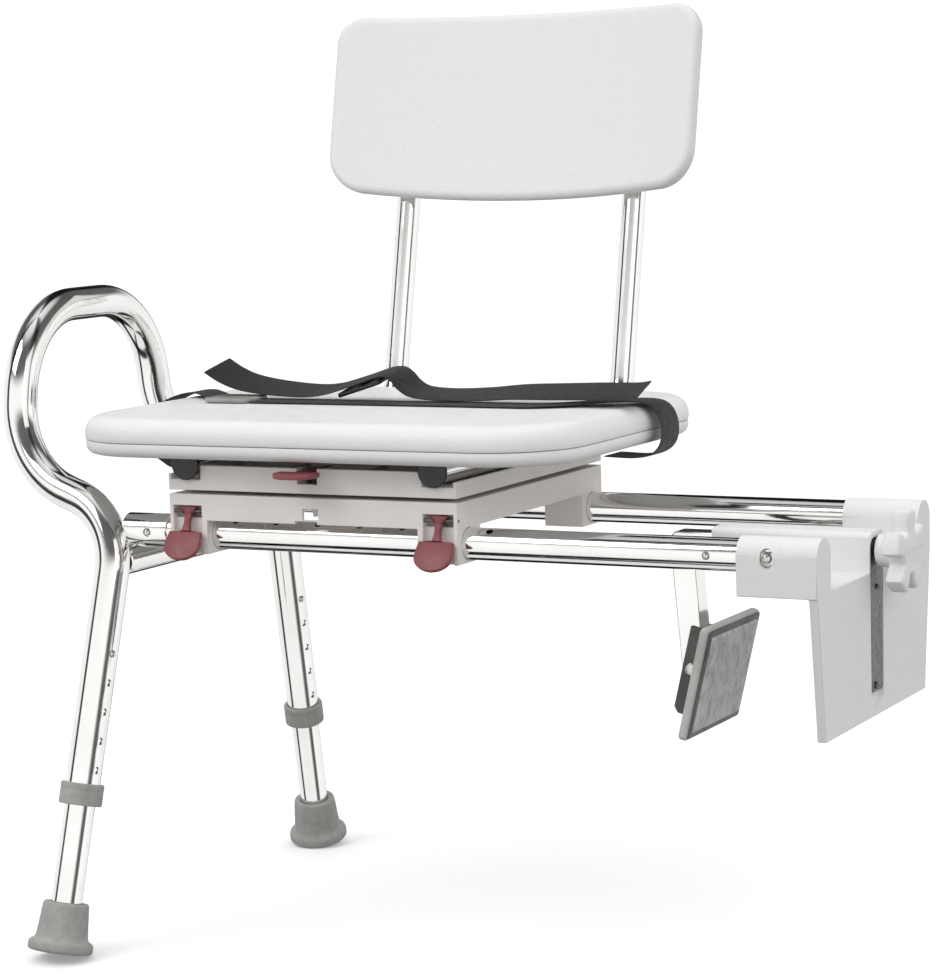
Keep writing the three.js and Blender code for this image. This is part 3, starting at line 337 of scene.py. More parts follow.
def changed_by(piece, kind, **settings):
    """The piece with one modifier applied to its mesh."""
    modifier = piece.modifiers.new(kind, kind)
    for key, value in settings.items():
        setattr(modifier, key, value)
    graph = bpy.context.evaluated_depsgraph_get()
    graph.update()
    mesh = bpy.data.meshes.new_from_object(piece.evaluated_get(graph))
    piece.modifiers.clear()
    piece.data = mesh
    return piece


def joined(name, *pieces):
    """Several pieces as one object of several shells."""
    body = bmesh.new()
    for piece in pieces:
        body.from_mesh(piece.data)
        bpy.data.objects.remove(piece)
    mesh = bpy.data.meshes.new(name)
    body.to_mesh(mesh)
    body.free()
    smooth(mesh)
    piece = bpy.data.objects.new(name, mesh)
    bpy.context.collection.objects.link(piece)
    return piece


def with_tools(piece, operation, tools):
    for tool in tools:
        changed_by(piece, "BOOLEAN", operation=operation, solver="EXACT", object=tool)
    for tool in tools:
        bpy.data.objects.remove(tool)
    smooth(piece.data)
    return piece


def cut(piece, *tools):
    return with_tools(piece, "DIFFERENCE", tools)


def union(piece, *others):
    return with_tools(piece, "UNION", others)


def circle(radius, sides):
    angles = [2 * math.pi * k / sides for k in range(sides)]
    return [(radius * math.cos(a), radius * math.sin(a)) for a in angles]


def turned(name, profile, start, towards, sides=48, crease=32):
    """A turned body: the profile holds (radius, distance) pairs, with the distance measured from start."""
    start, towards = Vector(start), Vector(towards)
    axis = (towards - start).normalized()
    side = axis.orthogonal().normalized()
    other = axis.cross(side)
    rings = []
    for radius, distance in profile:
        ring = circle(max(radius, 0.01), sides)
        rings.append([at(*(start + axis * distance + side * u + other * v)) for u, v in ring])
    return loft(name, rings, crease=crease)


def rod(name, start, end, radius, sides=32):
    length = (Vector(end) - Vector(start)).length
    return turned(name, [(radius, 0), (radius, length)], start, end, sides)


def bent_line(corners, radii, step=5, run=24):
    """Straight runs joined by arcs, as (point, direction) stations run millimetres or step degrees apart."""
    corners = [Vector(c) for c in corners]
    stations = []
    place = corners[0]

    def straight_to(end, direction):
        nonlocal place
        length = (end - place).length
        pieces = max(1, round(length / run))
        for k in range(pieces):
            stations.append((place.lerp(end, k / pieces), direction))
        place = end

    for i in range(1, len(corners) - 1):
        before = (corners[i] - corners[i - 1]).normalized()
        after = (corners[i + 1] - corners[i]).normalized()
        turn = before.angle(after)
        radius = radii[i - 1]
        reach = radius * math.tan(turn / 2)
        straight_to(corners[i] - before * reach, before)
        side = (after - before * after.dot(before)).normalized()
        steps = max(2, round(math.degrees(turn) / step))
        start = place
        for k in range(steps):
            a = turn * k / steps
            point = start + before * (radius * math.sin(a)) + side * (radius * (1 - math.cos(a)))
            stations.append((point, before * math.cos(a) + side * math.sin(a)))
        place = corners[i] + after * reach
    last = (corners[-1] - corners[-2]).normalized()
    straight_to(corners[-1], last)
    stations.append((corners[-1], last))
    return stations


def tube(name, stations, radius, bore, sides=56, edge=0.5):
    """A tube along the stations, with its two ends broken a little."""
    normal = stations[0][1].orthogonal().normalized()
    frames = []
    for point, direction in stations:
        normal = (normal - direction * normal.dot(direction)).normalized()
        frames.append((point, direction, normal, direction.cross(normal)))

    def ring(index, size, along=0.0):
        point, direction, u, v = frames[index]
        centre = point + direction * along
        return [at(*(centre + u * a + v * b)) for a, b in circle(size, sides)]

    last = len(frames) - 1
    outside = [ring(0, radius - edge), ring(0, radius, edge)]
    outside += [ring(i, radius) for i in range(1, last)]
    outside += [ring(last, radius, -edge), ring(last, radius - edge)]
    inside = [ring(i, bore) for i in range(last, -1, -1)]
    return loft(name, outside + inside, around=True)


AXES = {
    "x": lambda u, v, w: (w, u, v),
    "z": lambda u, v, w: (u, v, w),
}


def inset(outline, distance):
    """The outline moved inwards, for outlines that run anticlockwise; holes run clockwise and grow."""
    moved = []
    for i, point in enumerate(outline):
        here = Vector(point)
        before = (here - Vector(outline[i - 1])).normalized()
        after = (Vector(outline[(i + 1) % len(outline)]) - here).normalized()
        across = Vector((-before.y - after.y, before.x + after.x))
        across.normalize()
        lean = max(0.35, across.dot(Vector((-before.y, before.x))))
        moved.append(here + across * (distance / lean))
    return moved


def wound(outline, anticlockwise):
    """The outline, turned round if it runs the other way."""
    area = sum(a[0] * b[1] - b[0] * a[1] for a, b in zip(outline, [*outline[1:], outline[0]]))
    return list(outline) if (area > 0) == anticlockwise else list(reversed(outline))


def slab(name, outlines, axis, low, high, edge=0.8, turn=None, crease=32):
    """A flat outline, with any holes after it, as a slab with rounded edges.

    Outlines are (y, z) for axis x and (x, y) for axis z.
    """
    outlines = [wound(o, i == 0) for i, o in enumerate(outlines)]
    place = AXES[axis]
    quarter = [math.radians(30 * k) for k in range(4)]
    levels = [(edge * (1 - math.sin(a)), low + edge * (1 - math.cos(a))) for a in quarter]
    levels += [(i, low + high - w) for i, w in reversed(levels)]
    points, faces = [], []
    for outline in outlines:
        count = len(outline)
        start = len(points)
        for distance, w in levels:
            points += [Vector(place(p[0], p[1], w)) for p in inset(outline, distance)]
        for level in range(len(levels) - 1):
            for k in range(count):
                a = start + level * count
                b = a + count
                j = (k + 1) % count
                faces.append((a + k, a + j, b + j, b + k))
    for distance, w in (levels[0], levels[-1]):
        flat = [[Vector((*p, 0)) for p in inset(outline, distance)] for outline in outlines]
        start = len(points)
        points += [Vector(place(p.x, p.y, w)) for loop in flat for p in loop]
        faces += [tuple(start + i for i in triangle) for triangle in tessellate_polygon(flat)]
    if turn:
        points = [turn @ p for p in points]
    return closed_mesh(name, [at(*p) for p in points], faces, crease)


def rounded_rect(cx, cy, half_w, half_h, radius, steps=10):
    """A rectangle with rounded corners, anticlockwise."""
    corners = (
        (cx + half_w - radius, cy - half_h + radius, -90),
        (cx + half_w - radius, cy + half_h - radius, 0),
        (cx - half_w + radius, cy + half_h - radius, 90),
        (cx - half_w + radius, cy - half_h + radius, 180),
    )
    outline = []
    for x, y, start in corners:
        for k in range(steps + 1):
            a = math.radians(start + 90 * k / steps)
            outline.append((x + radius * math.cos(a), y + radius * math.sin(a)))
    return outline


def block(name, x, y, z, edge):
    return slab(name, [[(x[0], y[0]), (x[1], y[0]), (x[1], y[1]), (x[0], y[1])]], "z", *z, edge=edge)


def softened(node, width, shortest=6.0):
    """The CAD node's own shape, with every sharp edge longer than shortest rounded over."""
    body = bmesh.new()
    body.from_mesh(frame["nodes"][node].data)
    bmesh.ops.remove_doubles(body, verts=body.verts, dist=2e-6)
    bmesh.ops.dissolve_limit(
        body, angle_limit=math.radians(1), verts=body.verts, edges=body.edges, use_dissolve_boundaries=False
    )
    sharp = [
        e
        for e in body.edges
        if len(e.link_faces) == 2
        and e.calc_face_angle(0) > math.radians(28)
        and e.calc_length() > shortest * MM
    ]
    bmesh.ops.bevel(
        body, geom=sharp, offset=width * MM, segments=3, profile=0.5, affect="EDGES", clamp_overlap=False
    )
    mesh = bpy.data.meshes.new(node)
    body.to_mesh(mesh)
    body.free()
    smooth(mesh, 40)
    for polygon in mesh.polygons:
        if polygon.area > BROAD_FACE * MM**2:
            polygon.use_smooth = False
    piece = bpy.data.objects.new(f"{node}_moulded", mesh)
    bpy.context.collection.objects.link(piece)
    return piece


def stands_for(piece, *nodes):
    """The piece takes the place, body and finish of CAD nodes."""
    slot = SLOT[nodes[0]]
    piece.data.materials.clear()
    piece.data.materials.append(MATERIALS[slot])
    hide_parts(*nodes)
    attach(piece, BODY[nodes[0]])
    return piece


# ------------------------------------------------------------------ tubes of the frame
def leg_point(side, z):
    """A point on a leg's centre line: side is -1 at the front and 1 at the rear."""
    return Vector((LEG_X + LEAN_X * (z - RAIL_Z), side * (LEG_Y + LEAN_Y * (RAIL_Z - z)), z))


def beside_leg(side, z, distance):
    """A point beside a leg, out the way its snap button faces."""
    axis = (leg_point(side, 1) - leg_point(side, 0)).normalized()
    out = Vector((math.cos(BUTTON_TURN), -math.sin(BUTTON_TURN), 0))
    out = (out - axis * out.dot(axis)).normalized()
    return leg_point(side, z) + out * distance


def leg_drill(side, z):
    """The drill for a snap button's hole in a leg."""
    return rod("drill", beside_leg(side, z, 8), beside_leg(side, z, 20), HOLE_R, 24)


def make_frame_tubes():
    rising = (LOOP_KNEE, LOOP_HEEL, LOOP_TOP)
    corners = [leg_point(-1, LEG_BOTTOM), *((x, -y, z) for x, y, z in rising)]
    corners += [*reversed(rising), leg_point(1, LEG_BOTTOM)]
    bends = [*LOOP_BENDS, *reversed(LOOP_BENDS)]
    loop = tube("arm_loop_and_legs", bent_line(corners, bends), FRAME_R, FRAME_R - WALL)
    drills = [leg_drill(side, HOLE_FIRST - k * HOLE_PITCH) for _, side in ENDS for k in range(HOLE_COUNT)]
    stands_for(cut(loop, joined("drills", *drills)), "arm_leg_tube")

    reach = LEG_Y + LEAN_Y * (RAIL_Z - CROSS_Z) - FRAME_R + 1
    line = bent_line([(CROSS_X, -reach, CROSS_Z), (CROSS_X, reach, CROSS_Z)], [])
    stands_for(tube("cross_tube", line, CROSS_R, CROSS_R - WALL), "leg_cross_tube")


def make_rails():
    for end, side in ENDS:
        y = side * RAIL_Y

        def across(name, x, radius):
            return rod(name, (x, y + side * 8, RAIL_Z), (x, y + side * 22, RAIL_Z), radius, 28)

        line = bent_line([(STUB_START, y, RAIL_Z), (STUB_END, y, RAIL_Z)], [], run=8)
        stub = tube(f"{end}_stub", line, STUB_R, STUB_BORE)
        x, radius = BUTTONS["rail"]
        stands_for(cut(stub, across("drill", x, radius + BUTTON_PLAY)), f"{end}_rail_stub")

        line = bent_line([(RAIL_START, y, RAIL_Z), (RAIL_END, y, RAIL_Z)], [], run=10.75)
        rail = tube(f"{end}_rail_tube", line, RAIL_R, RAIL_R - WALL)
        drills = [across("drill", x, radius + BUTTON_PLAY) for x, radius in BUTTONS.values()]
        if side < 0:
            tilt = Vector((0, -math.sin(INDEX_TILT), math.cos(INDEX_TILT)))
            for k in range(INDEX_COUNT):
                centre = Vector((INDEX_FIRST + INDEX_PITCH * k, y, RAIL_Z))
                drills.append(rod("drill", centre + tilt * 9, centre + tilt * 18, INDEX_R, 24))
        stands_for(cut(rail, joined("drills", *drills)), f"{end}_rail")


def dome(name, radius, start, end):
    """A snap button: a plunger with a rounded nose."""
    height = (Vector(end) - Vector(start)).length
    nose = [
        (radius * math.sin(a), height - 2.2 * (1 - math.cos(a)))
        for a in (math.radians(10 * k) for k in range(9, -1, -1))
    ]
    return turned(name, [(0, 0), (radius, 0.2), *nose], start, end, 32)


def make_buttons():
    """Each button runs between two distances from its tube's middle."""
    depths = {"rail": (14.6, 18.5), "stop": (12.8, 16.9), "sleeve": (12.8, 18.3)}
    for end, side in ENDS:
        y = side * RAIL_Y
        for name, (x, radius) in BUTTONS.items():
            near, far = ((x, y + side * depth, RAIL_Z) for depth in depths[name])
            stands_for(dome(f"{end}_{name}_snap", radius, near, far), f"{end}_{name}_button")
        near, far = (beside_leg(side, HOLE_FIRST, depth) for depth in (14.3, 18.5))
        stands_for(dome(f"{end}_leg_snap", 3.0, near, far), f"{end}_leg_button")


def make_legs():
    for end, side in ENDS:
        line = bent_line([leg_point(side, INNER_BOTTOM), leg_point(side, INNER_TOP)], [])
        inner = tube(f"{end}_inner_leg", line, INNER_R, INNER_R - WALL)
        stands_for(cut(inner, leg_drill(side, HOLE_FIRST)), f"{end}_leg_tube")

        collar = [(14.3, 0), (19.2, 0), (19.9, 0.5), (20, 1.4), (20, 12.8), (19.8, 13.4), (19.8, 14.2)]
        collar += [(20, 14.8), (20, 18.6), (19.7, 19.6), (19, 20), (16.2, 20), (16.2, 6), (14.3, 6)]
        collar += [(14.3, 0)]
        start = leg_point(side, COLLAR_BOTTOM)
        ring = turned(f"{end}_collar_ring", collar, start, leg_point(side, COLLAR_BOTTOM + 100), 64)
        stands_for(ring, f"{end}_leg_collar")

        foot = [(0, 0.6), (16, 0.5), (22, 0), (27, 0), (28.6, 0.4), (29.6, 1.4), (30, 3), (29.9, 7)]
        foot += [(29.3, 8.8), (28, 10), (26.4, 10.7), (25, 11.8), (24.1, 14), (23.5, 18), (22.9, 24)]
        foot += [(22.4, 30), (21.9, 36), (21.4, 41), (21.1, 43.4), (20.6, 44.8), (19.6, 45.4), (17, 45.4)]
        foot += [(14.9, 45.2), (14.4, 44.4), (14.3, 30), (14.3, 6), (0, 6)]
        start = leg_point(side, FOOT_BOTTOM)
        tip = turned(f"{end}_rubber_tip", foot, start, leg_point(side, FOOT_BOTTOM + 100), 72, 50)
        stands_for(tip, f"{end}_foot")


# ------------------------------------------------------------------ seat and backrest
def slab_rings(outline_at, profile, fill=(0.05, 0.3, 0.55, 0.75, 0.88, 0.96)):
    """Rings of a thick plate, whose profile of (inset, depth) pairs runs from one face round to the other.

    outline_at(inset) gives the outline, and the faces are filled by shrinking the first and last rings.
    """
    first, last = profile[0], profile[-1]
    rings = []
    for scale in fill:
        rings.append([(u * scale, v * scale, first[1]) for u, v in outline_at(first[0])])
    rings += [[(u, v, depth) for u, v in outline_at(distance)] for distance, depth in profile]
    for scale in reversed(fill):
        rings.append([(u * scale, v * scale, last[1]) for u, v in outline_at(last[0])])
    return rings


def arc(inset0, depth0, inset1, depth1, steps=8, outwards=True):
    """A quarter round of (inset, depth) pairs, from along the face to along the side, or the reverse."""
    pairs = []
    for k in range(steps + 1):
        a = math.pi / 2 * k / steps
        s, c = (math.sin(a), 1 - math.cos(a)) if outwards else (1 - math.cos(a), math.sin(a))
        pairs.append((inset0 + (inset1 - inset0) * s, depth0 + (depth1 - depth0) * c))
    return pairs


def seat_outline(distance):
    half_x, half_y = SEAT_HALF
    radius = max(SEAT_CORNER - distance, 4)
    return rounded_rect(0, 0, half_x - distance, half_y - distance, radius, steps=20)


def make_seat():
    """Two shells that meet at the parting line: the upper one's face falls away towards its edge."""
    half_x, half_y = SEAT_HALF

    def seat_rings(profile, crown=0.0):
        def placed(u, v, w):
            fall = crown * max(abs(u) / half_x, abs(v) / half_y) ** 3 if w > SEAT_PARTING + 8 else 0
            return at(SEAT_X + u, v, w - fall)

        return [[placed(*p) for p in ring] for ring in slab_rings(seat_outline, profile)]

    edge = [(0.0, 5), (0.1, 1.6), (0.5, 0.7), (1.4, 0.25)]
    top = arc(16, SEAT_TOP, 0.2, SEAT_TOP - 15, 12) + [(i, SEAT_PARTING + rise) for i, rise in edge]
    stands_for(loft("seat_top_shell", seat_rings(top, 1.2)), "seat_top")

    edge = [(1.5, 0.25), (0.9, 0.7), (0.6, 1.5), (0.6, 4)]
    low = [(i, SEAT_PARTING - fall) for i, fall in edge]
    low += arc(0.6, SEAT_BOTTOM + 8.5, 9, SEAT_BOTTOM, 8, outwards=False)
    base = loft("seat_base_shell", seat_rings(low))
    channels = [
        rod("channel", (x, -166, POST_Z), (x, 400, POST_Z), PLUG_R + 0.5, 48)
        for x in (SEAT_X - POST_X, SEAT_X + POST_X)
    ]
    stands_for(cut(base, *channels), "seat_base")


def panel_outline(distance):
    """The panel seen square on; its lower edge droops a little towards the middle."""
    w, h = PANEL_W / 2 - distance, PANEL_H / 2 - distance
    low, high = PANEL_LOW_R - distance, PANEL_TOP_R - distance

    def edge(start, end, pieces, droop=0.0):
        """Points between the ends of a side, without the ends themselves."""
        for k in range(1, pieces):
            t = k / pieces
            x, y = Vector(start).lerp(Vector(end), t)
            outline.append((x, y - 4 * droop * t * (1 - t)))

    def corner(x, y, radius, start):
        for k in range(13):
            a = math.radians(start + 90 * k / 12)
            outline.append((x + radius * math.cos(a), y + radius * math.sin(a)))

    outline = []
    lower = PANEL_DROOP - h
    edge((low - w, lower), (w - low, lower), 24, PANEL_DROOP)
    corner(w - low, low + lower, low, -90)
    edge((w, low + lower), (w, h - high), 8)
    corner(w - high, h - high, high, 0)
    edge((w - high, h), (high - w, h), 24)
    corner(high - w, h - high, high, 90)
    edge((-w, h - high), (-w, low + lower), 8)
    corner(low - w, low + lower, low, 180)
    return outline


def post_y(z):
    """How far back a backrest post's centre line is at height z."""
    return 256 + RECLINE * (z - 500)


def make_backrest():
    lean = math.atan(RECLINE)
    tilt = Matrix.Rotation(-lean, 3, "X")
    back = PANEL_R + PANEL_T
    sag = back - math.sqrt(back**2 - POST_X**2)
    forward = POST_R / math.cos(lean) + PANEL_T - sag + 0.6
    middle = Vector((PANEL_X, post_y(PANEL_Z) - forward, PANEL_Z))

    def placed(u, v, w):
        bent = Vector((u, math.sqrt((PANEL_R + w) ** 2 - u**2) - PANEL_R, v))
        return at(*(tilt @ bent + middle))

    def shell(name, profile):
        rings = slab_rings(panel_outline, profile, fill=[k / 14 for k in range(1, 14)])
        return loft(name, [[placed(*p) for p in ring] for ring in rings])

    parting = PANEL_T * 0.6
    face = arc(7.5, 0, 0, 7, 10) + [(0, parting - 1.2), (0.3, parting - 0.5), (1.0, parting - 0.1)]
    rear = [(1.2, parting + 0.3), (0.7, parting + 0.7), (0.6, parting + 1.4)]
    rear += arc(0.6, parting + 2.2, 7.5, PANEL_T, 8, outwards=False)
    stands_for(shell("backrest_face", face), "backrest_front")
    stands_for(shell("backrest_back", rear), "backrest_rear")


def make_posts():
    for name, x in (("left", SEAT_X - POST_X), ("right", SEAT_X + POST_X)):
        corners = [(x, POST_FRONT, POST_Z), (x, post_y(POST_Z), POST_Z), (x, post_y(POST_TOP), POST_TOP)]
        post = tube(f"{name}_post", bent_line(corners, [60]), POST_R, POST_R - WALL)
        stands_for(post, f"back_post_{name}")
        bore = POST_R - WALL - 0.3
        plug = [(0, 0.5), (9, 0.4), (12.4, 0), (13.6, 0.25), (PLUG_R, 1), (PLUG_R, PLUG_T)]
        plug += [(bore, PLUG_T), (bore, 18), (0, 18)]
        face = POST_FRONT - PLUG_T - 0.3
        cap = turned(f"{name}_end_plug", plug, (x, face, POST_Z), (x, 0, POST_Z), 56)
        stands_for(cap, f"post_plug_{name}")


# ------------------------------------------------------------------ carriage, locks and swivel
def make_carriage():
    for node in ("lower_tray", "upper_tray"):
        stands_for(softened(node, 0.9), node)
    for node in ("slide_lock_lever_left", "slide_lock_lever_right", "swivel_lock_lever"):
        stands_for(softened(node, 1.0, shortest=0.8), node)
    for node, low, high in (
        ("swivel_bearing_lower_race", 418.3, 419.7),
        ("swivel_bearing_upper_race", 420, 421.4),
    ):
        ring = [(RACE_INNER + 0.3, low), (RACE_OUTER - 0.4, low), (RACE_OUTER, low + 0.4)]
        ring += [(RACE_OUTER, high - 0.4), (RACE_OUTER - 0.4, high), (RACE_INNER + 0.3, high)]
        ring += [(RACE_INNER, high - 0.3), (RACE_INNER, low + 0.3)]
        rings = [[at(SEAT_X + u, v, z) for u, v in circle(r, 96)] for r, z in ring]
        stands_for(loft(f"{node}_ring", rings, around=True), node)
    bolt = [(0, 391), (9.4, 391), (10, 391.7), (10, 396.7), (6, 396.7), (6, 427), (10, 427), (10, 431.3)]
    bolt += [(9.4, 432), (0, 432)]
    stands_for(turned("swivel_bolt", bolt, (SEAT_X, 0, 0), (SEAT_X, 0, 1), 48), "swivel_centre_bolt")
    for name, x in (("left", SEAT_X - LEVER_X), ("right", SEAT_X + LEVER_X)):
        across = [(0, 0), (1.2, 0), (1.5, 0.4), (1.5, 37.6), (1.2, 38), (0, 38)]
        pin = turned(f"{name}_lever_pin", across, (x - 19, -150, 402), (x + 19, -150, 402), 24)
        stands_for(pin, f"lever_pivot_pin_{name}")
        way = Vector((0, -math.sin(INDEX_TILT), math.cos(INDEX_TILT)))
        centre_line = Vector((x, -RAIL_Y, RAIL_Z))
        lock = [(0, 0), (1.7, 0), (2.5, 1), (2.5, 9.6), (0, 9.6)]
        pin = turned(f"{name}_lock_pin", lock, centre_line + way * 15.2, centre_line + way * 25, 28)
        stands_for(pin, f"slide_lock_pin_{name}")
    lock = [(0, 0), (2.2, 0), (3, 0.9), (3, 19.3), (0, 19.3)]
    stands_for(turned("swivel_pin", lock, (SEAT_X, -120, 419.4), (SEAT_X, -120, 440), 28), "swivel_lock_pin")
    across = [(0, 0), (1.5, 0), (1.5, 31.4), (0, 31.4)]
    pin = turned("swivel_lever_pin", across, (208.3, -143, 441.3), (300, -143, 441.3), 24)
    stands_for(pin, "swivel_lever_pivot_pin")


# ------------------------------------------------------------------ bath mount and clamp
def make_mount():
    stands_for(softened("tub_mount_body", 1.0), "tub_mount_body")
    stands_for(softened("slot_strap", 0.5), "slot_strap")
    for end, y, z, radius in (("upper", 0, 337, 2.4), ("lower", -4, 250.5, 3.4)):
        shank = radius * 0.55
        profile = [(0, 0), (shank, 0), (shank, 7.3), (radius * 0.95, 7.3), (radius, 7.6)]
        profile += [(radius * 0.97, 8.1), (radius * 0.8, 8.6), (radius * 0.5, 8.95), (0, 9)]
        head = turned(f"{end}_pan_screw", profile, (695, y, z), (720, y, z), 36)
        arm = radius * 0.5
        slots = [
            block("slot", (703.3, 706), (y - arm, y + arm), (z - 0.4, z + 0.4), 0.1),
            block("slot", (703.3, 706), (y - 0.4, y + 0.4), (z - arm, z + arm), 0.1),
        ]
        stands_for(cut(head, *slots), f"strap_screw_{end}")


def knob_outline(steps=120):
    """Five rounded lobes with hollows between them."""
    outline = []
    for k in range(steps):
        a = 2 * math.pi * k / steps
        wave = 0.5 + 0.5 * math.cos(5 * (a - math.pi / 2))
        rise = min(1.0, max(0.0, (wave - 0.12) / 0.5))
        radius = 20 + 16.6 * rise * rise * (3 - 2 * rise)
        outline.append((radius * math.cos(a), SCREW_Z + radius * math.sin(a)))
    return outline


def make_knob():
    """A lobed head, a hub towards the plate and a low boss outside, bored for the screw."""
    head = slab("knob_head", [knob_outline()], "x", 719, 735, edge=3.2, crease=50)
    hub = turned(
        "knob_hub",
        [(0, 704.5), (12.5, 704.5), (14, 705.3), (14.5, 706.8), (14.8, 714), (16.5, 720), (0, 720)],
        (0, 0, SCREW_Z),
        (1, 0, SCREW_Z),
        56,
    )
    boss = turned(
        "knob_boss", [(0, 730), (11, 730), (11, 734.4), (0, 734.9)], (0, 0, SCREW_Z), (1, 0, SCREW_Z), 48
    )
    knob = union(head, hub, boss)
    hole = rod("hole", (700, 0, SCREW_Z), (716.8, 0, SCREW_Z), 5.3, 36)
    stands_for(cut(knob, hole), "clamp_knob")


def make_thread():
    """The clamp's screw: each ring of points is a slice across the helix, and the two ends are chamfered."""
    length = SCREW_END - SCREW_START
    slices = int(length / THREAD_PITCH * THREAD_STEPS)
    rings = []
    for i in range(slices + 1):
        x = SCREW_START + length * i / slices
        taper = min(1.0, (x - SCREW_START + 0.8) / 2, (SCREW_END + 0.8 - x) / 2)
        ring = []
        for k in range(THREAD_SIDES):
            a = 2 * math.pi * k / THREAD_SIDES
            phase = (x / THREAD_PITCH - a / (2 * math.pi)) % 1
            radius = (SCREW_R - THREAD_DEPTH * abs(2 * phase - 1)) * max(0.6, taper)
            ring.append(at(x, radius * math.cos(a), SCREW_Z + radius * math.sin(a)))
        rings.append(ring)
    stands_for(loft("clamp_thread", rings, crease=60), "clamp_screw")


def make_clamp():
    stands_for(softened("clamp_arm", 1.2, shortest=3), "clamp_arm")
    stands_for(softened("clamp_nut", 0.8), "clamp_nut")


def make_pad():
    stands_for(softened("pad_bracket", 1.0), "pad_bracket")
    lean = Matrix.Translation((PIVOT_X, 0, PIVOT_Z)) @ Matrix.Rotation(PAD_TILT, 4, "Y")
    outline = rounded_rect(0, 0, *PAD_HALF, 5)
    plate = slab("pad_plate", [outline], "x", 16.8, 25.3, edge=2.6, turn=lean, crease=50)
    stands_for(plate, "pad_frame")

    def stepped(name, levels, radius):
        """A low block over the frame: levels hold (inset from the frame's edge, height)."""

        def outline_at(distance):
            return rounded_rect(0, 0, PAD_HALF[0] - distance, PAD_HALF[1] - distance, radius)

        rings = slab_rings(outline_at, levels, fill=(0.05, 0.5, 0.9))
        rings = [[at(*(lean @ Vector((w, u, v)))) for u, v, w in ring] for ring in rings]
        return loft(name, rings, crease=25)

    # Painted shade: a dark skirt round the grip's foot stands for the shade along the grip's sides, which
    # are dark in their own colour too.
    shade_skirt = stepped("pad_shade_skirt", [(2, 25.6), (2.1, 26.1), (2.7, 26.6), (4, 26.8)], 2.5)
    shade_skirt.data.materials.append(MATERIALS["pad_dark"])
    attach(shade_skirt, BODY["pad_face"])
    grip = stepped("pad_grip", [(7.6, 26.9), (7.7, 27.3), (9.2, 28.5), (9.8, 28.8), (10.6, 28.9)], 1.4)
    stands_for(grip, "pad_face")

    pin = [(0, 0), (4.6, 0), (5.8, 0.7), (6, 1.4), (6, 2), (4, 2), (4, 31.2), (6, 31.2), (6, 31.8)]
    pin += [(5.8, 32.5), (4.6, 33.2), (0, 33.2)]
    piece = turned("pad_pin", pin, (PIVOT_X, -16.6, PIVOT_Z), (PIVOT_X, 16.6, PIVOT_Z), 40)
    stands_for(piece, "pad_pivot_pin")


# ------------------------------------------------------------------ lap belt
def curve_through(points, spacing=3.0):
    """A smooth line through given (x, z) points, sampled about every spacing millimetres."""
    points = [Vector(p) for p in points]
    ends = [points[0] * 2 - points[1], *points, points[-1] * 2 - points[-2]]
    line = []
    for i in range(1, len(ends) - 2):
        a, b, c, d = ends[i - 1 : i + 3]
        steps = max(2, round((c - b).length / spacing))
        for k in range(steps):
            t = k / steps
            square, cube = 2 * a - 5 * b + 4 * c - d, 3 * b - a - 3 * c + d
            line.append(0.5 * (2 * b + (c - a) * t + square * t * t + cube * t**3))
    line.append(points[-1])
    return line


def smooth_step(value, low, high):
    t = min(1.0, max(0.0, (value - low) / (high - low)))
    return t * t * (3 - 2 * t)


def belt_middle(x):
    """How far back the belt lies: it comes up at the seat's ends and runs nearer the front between them."""
    on_seat = smooth_step(x, -20, 70) * (1 - smooth_step(x, 370, 480))
    return BELT_END_Y + (BELT_SEAT_Y - BELT_END_Y) * on_seat


def loose_roll(x):
    """How far the upper strap is tipped, its far edge raised, in radians."""
    return math.radians(14 + 4 * math.cos(x / 70))


def strap(name, points, middle_at, roll_at):
    """A flat strap along (x, z) points, with thinner edges. It cups slightly along its length.

    It tips about a line that lies BELT_HINGE of its half width in front of its middle.
    """
    line = curve_through(points)
    rings = []
    length = 0.0
    across = [-1 + k / 5 for k in range(11)]
    for i, here in enumerate(line):
        before, after = line[max(i - 1, 0)], line[min(i + 1, len(line) - 1)]
        length += (here - before).length
        direction = (after - before).normalized()
        up = Vector((-direction.y, direction.x))
        roll = roll_at(here.x)
        cup = 0.3 * math.sin(length / 31)
        ring = []
        for s, face in [(s, 1) for s in across] + [(s, -1) for s in reversed(across)]:
            slim = BELT_THICK / 2 * (1 if abs(s) < 0.99 else 0.45)
            reach = (s + BELT_HINGE) * BELT_HALF
            lift = cup * (1 - s * s) + slim * face + reach * math.sin(roll)
            y = middle_at(here.x) - BELT_HINGE * BELT_HALF + reach * math.cos(roll)
            ring.append(at(here.x + up.x * lift, y, here.y + up.y * lift))
        rings.append(ring)
    return loft(name, rings, crease=60)


RIGHT_STRAP = [
    (89, BELT_REST_Z), (150, BELT_REST_Z), (220, BELT_REST_Z), (300, BELT_REST_Z), (370, BELT_REST_Z),
    (390, BELT_REST_Z + 0.4), (410, BELT_REST_Z + 1), (440, BELT_REST_Z + 1.9), (468, BELT_REST_Z + 1.3),
    (481, 487), (488, 477), (490, 464), (487, 452), (478, 444), (462, 441), (440, 443),
]
LEFT_STRAP = [
    (-8, 424), (-32, 418.5), (-48, 425.5), (-60, 434.5), (-65, 447), (-59, 465), (-46, 481), (-28, 489.5),
    (-8, 493), (12, BELT_REST_Z + 2.2), (37, BELT_REST_Z),
]
LOOSE_STRAP = [
    (28, 519), (44, 510), (62, 503.5), (85, 499.5), (115, 497), (140, 496.5), (158, 498.6), (172, 502.2),
    (196, 509.6), (213, 515), (224, 516), (231, 512), (239, 504), (250, 498), (268, 495.6), (290, 495),
    (320, 495.8), (354, 498), (396, 498.6), (436, 499.4), (466, 500), (480, 502),
]


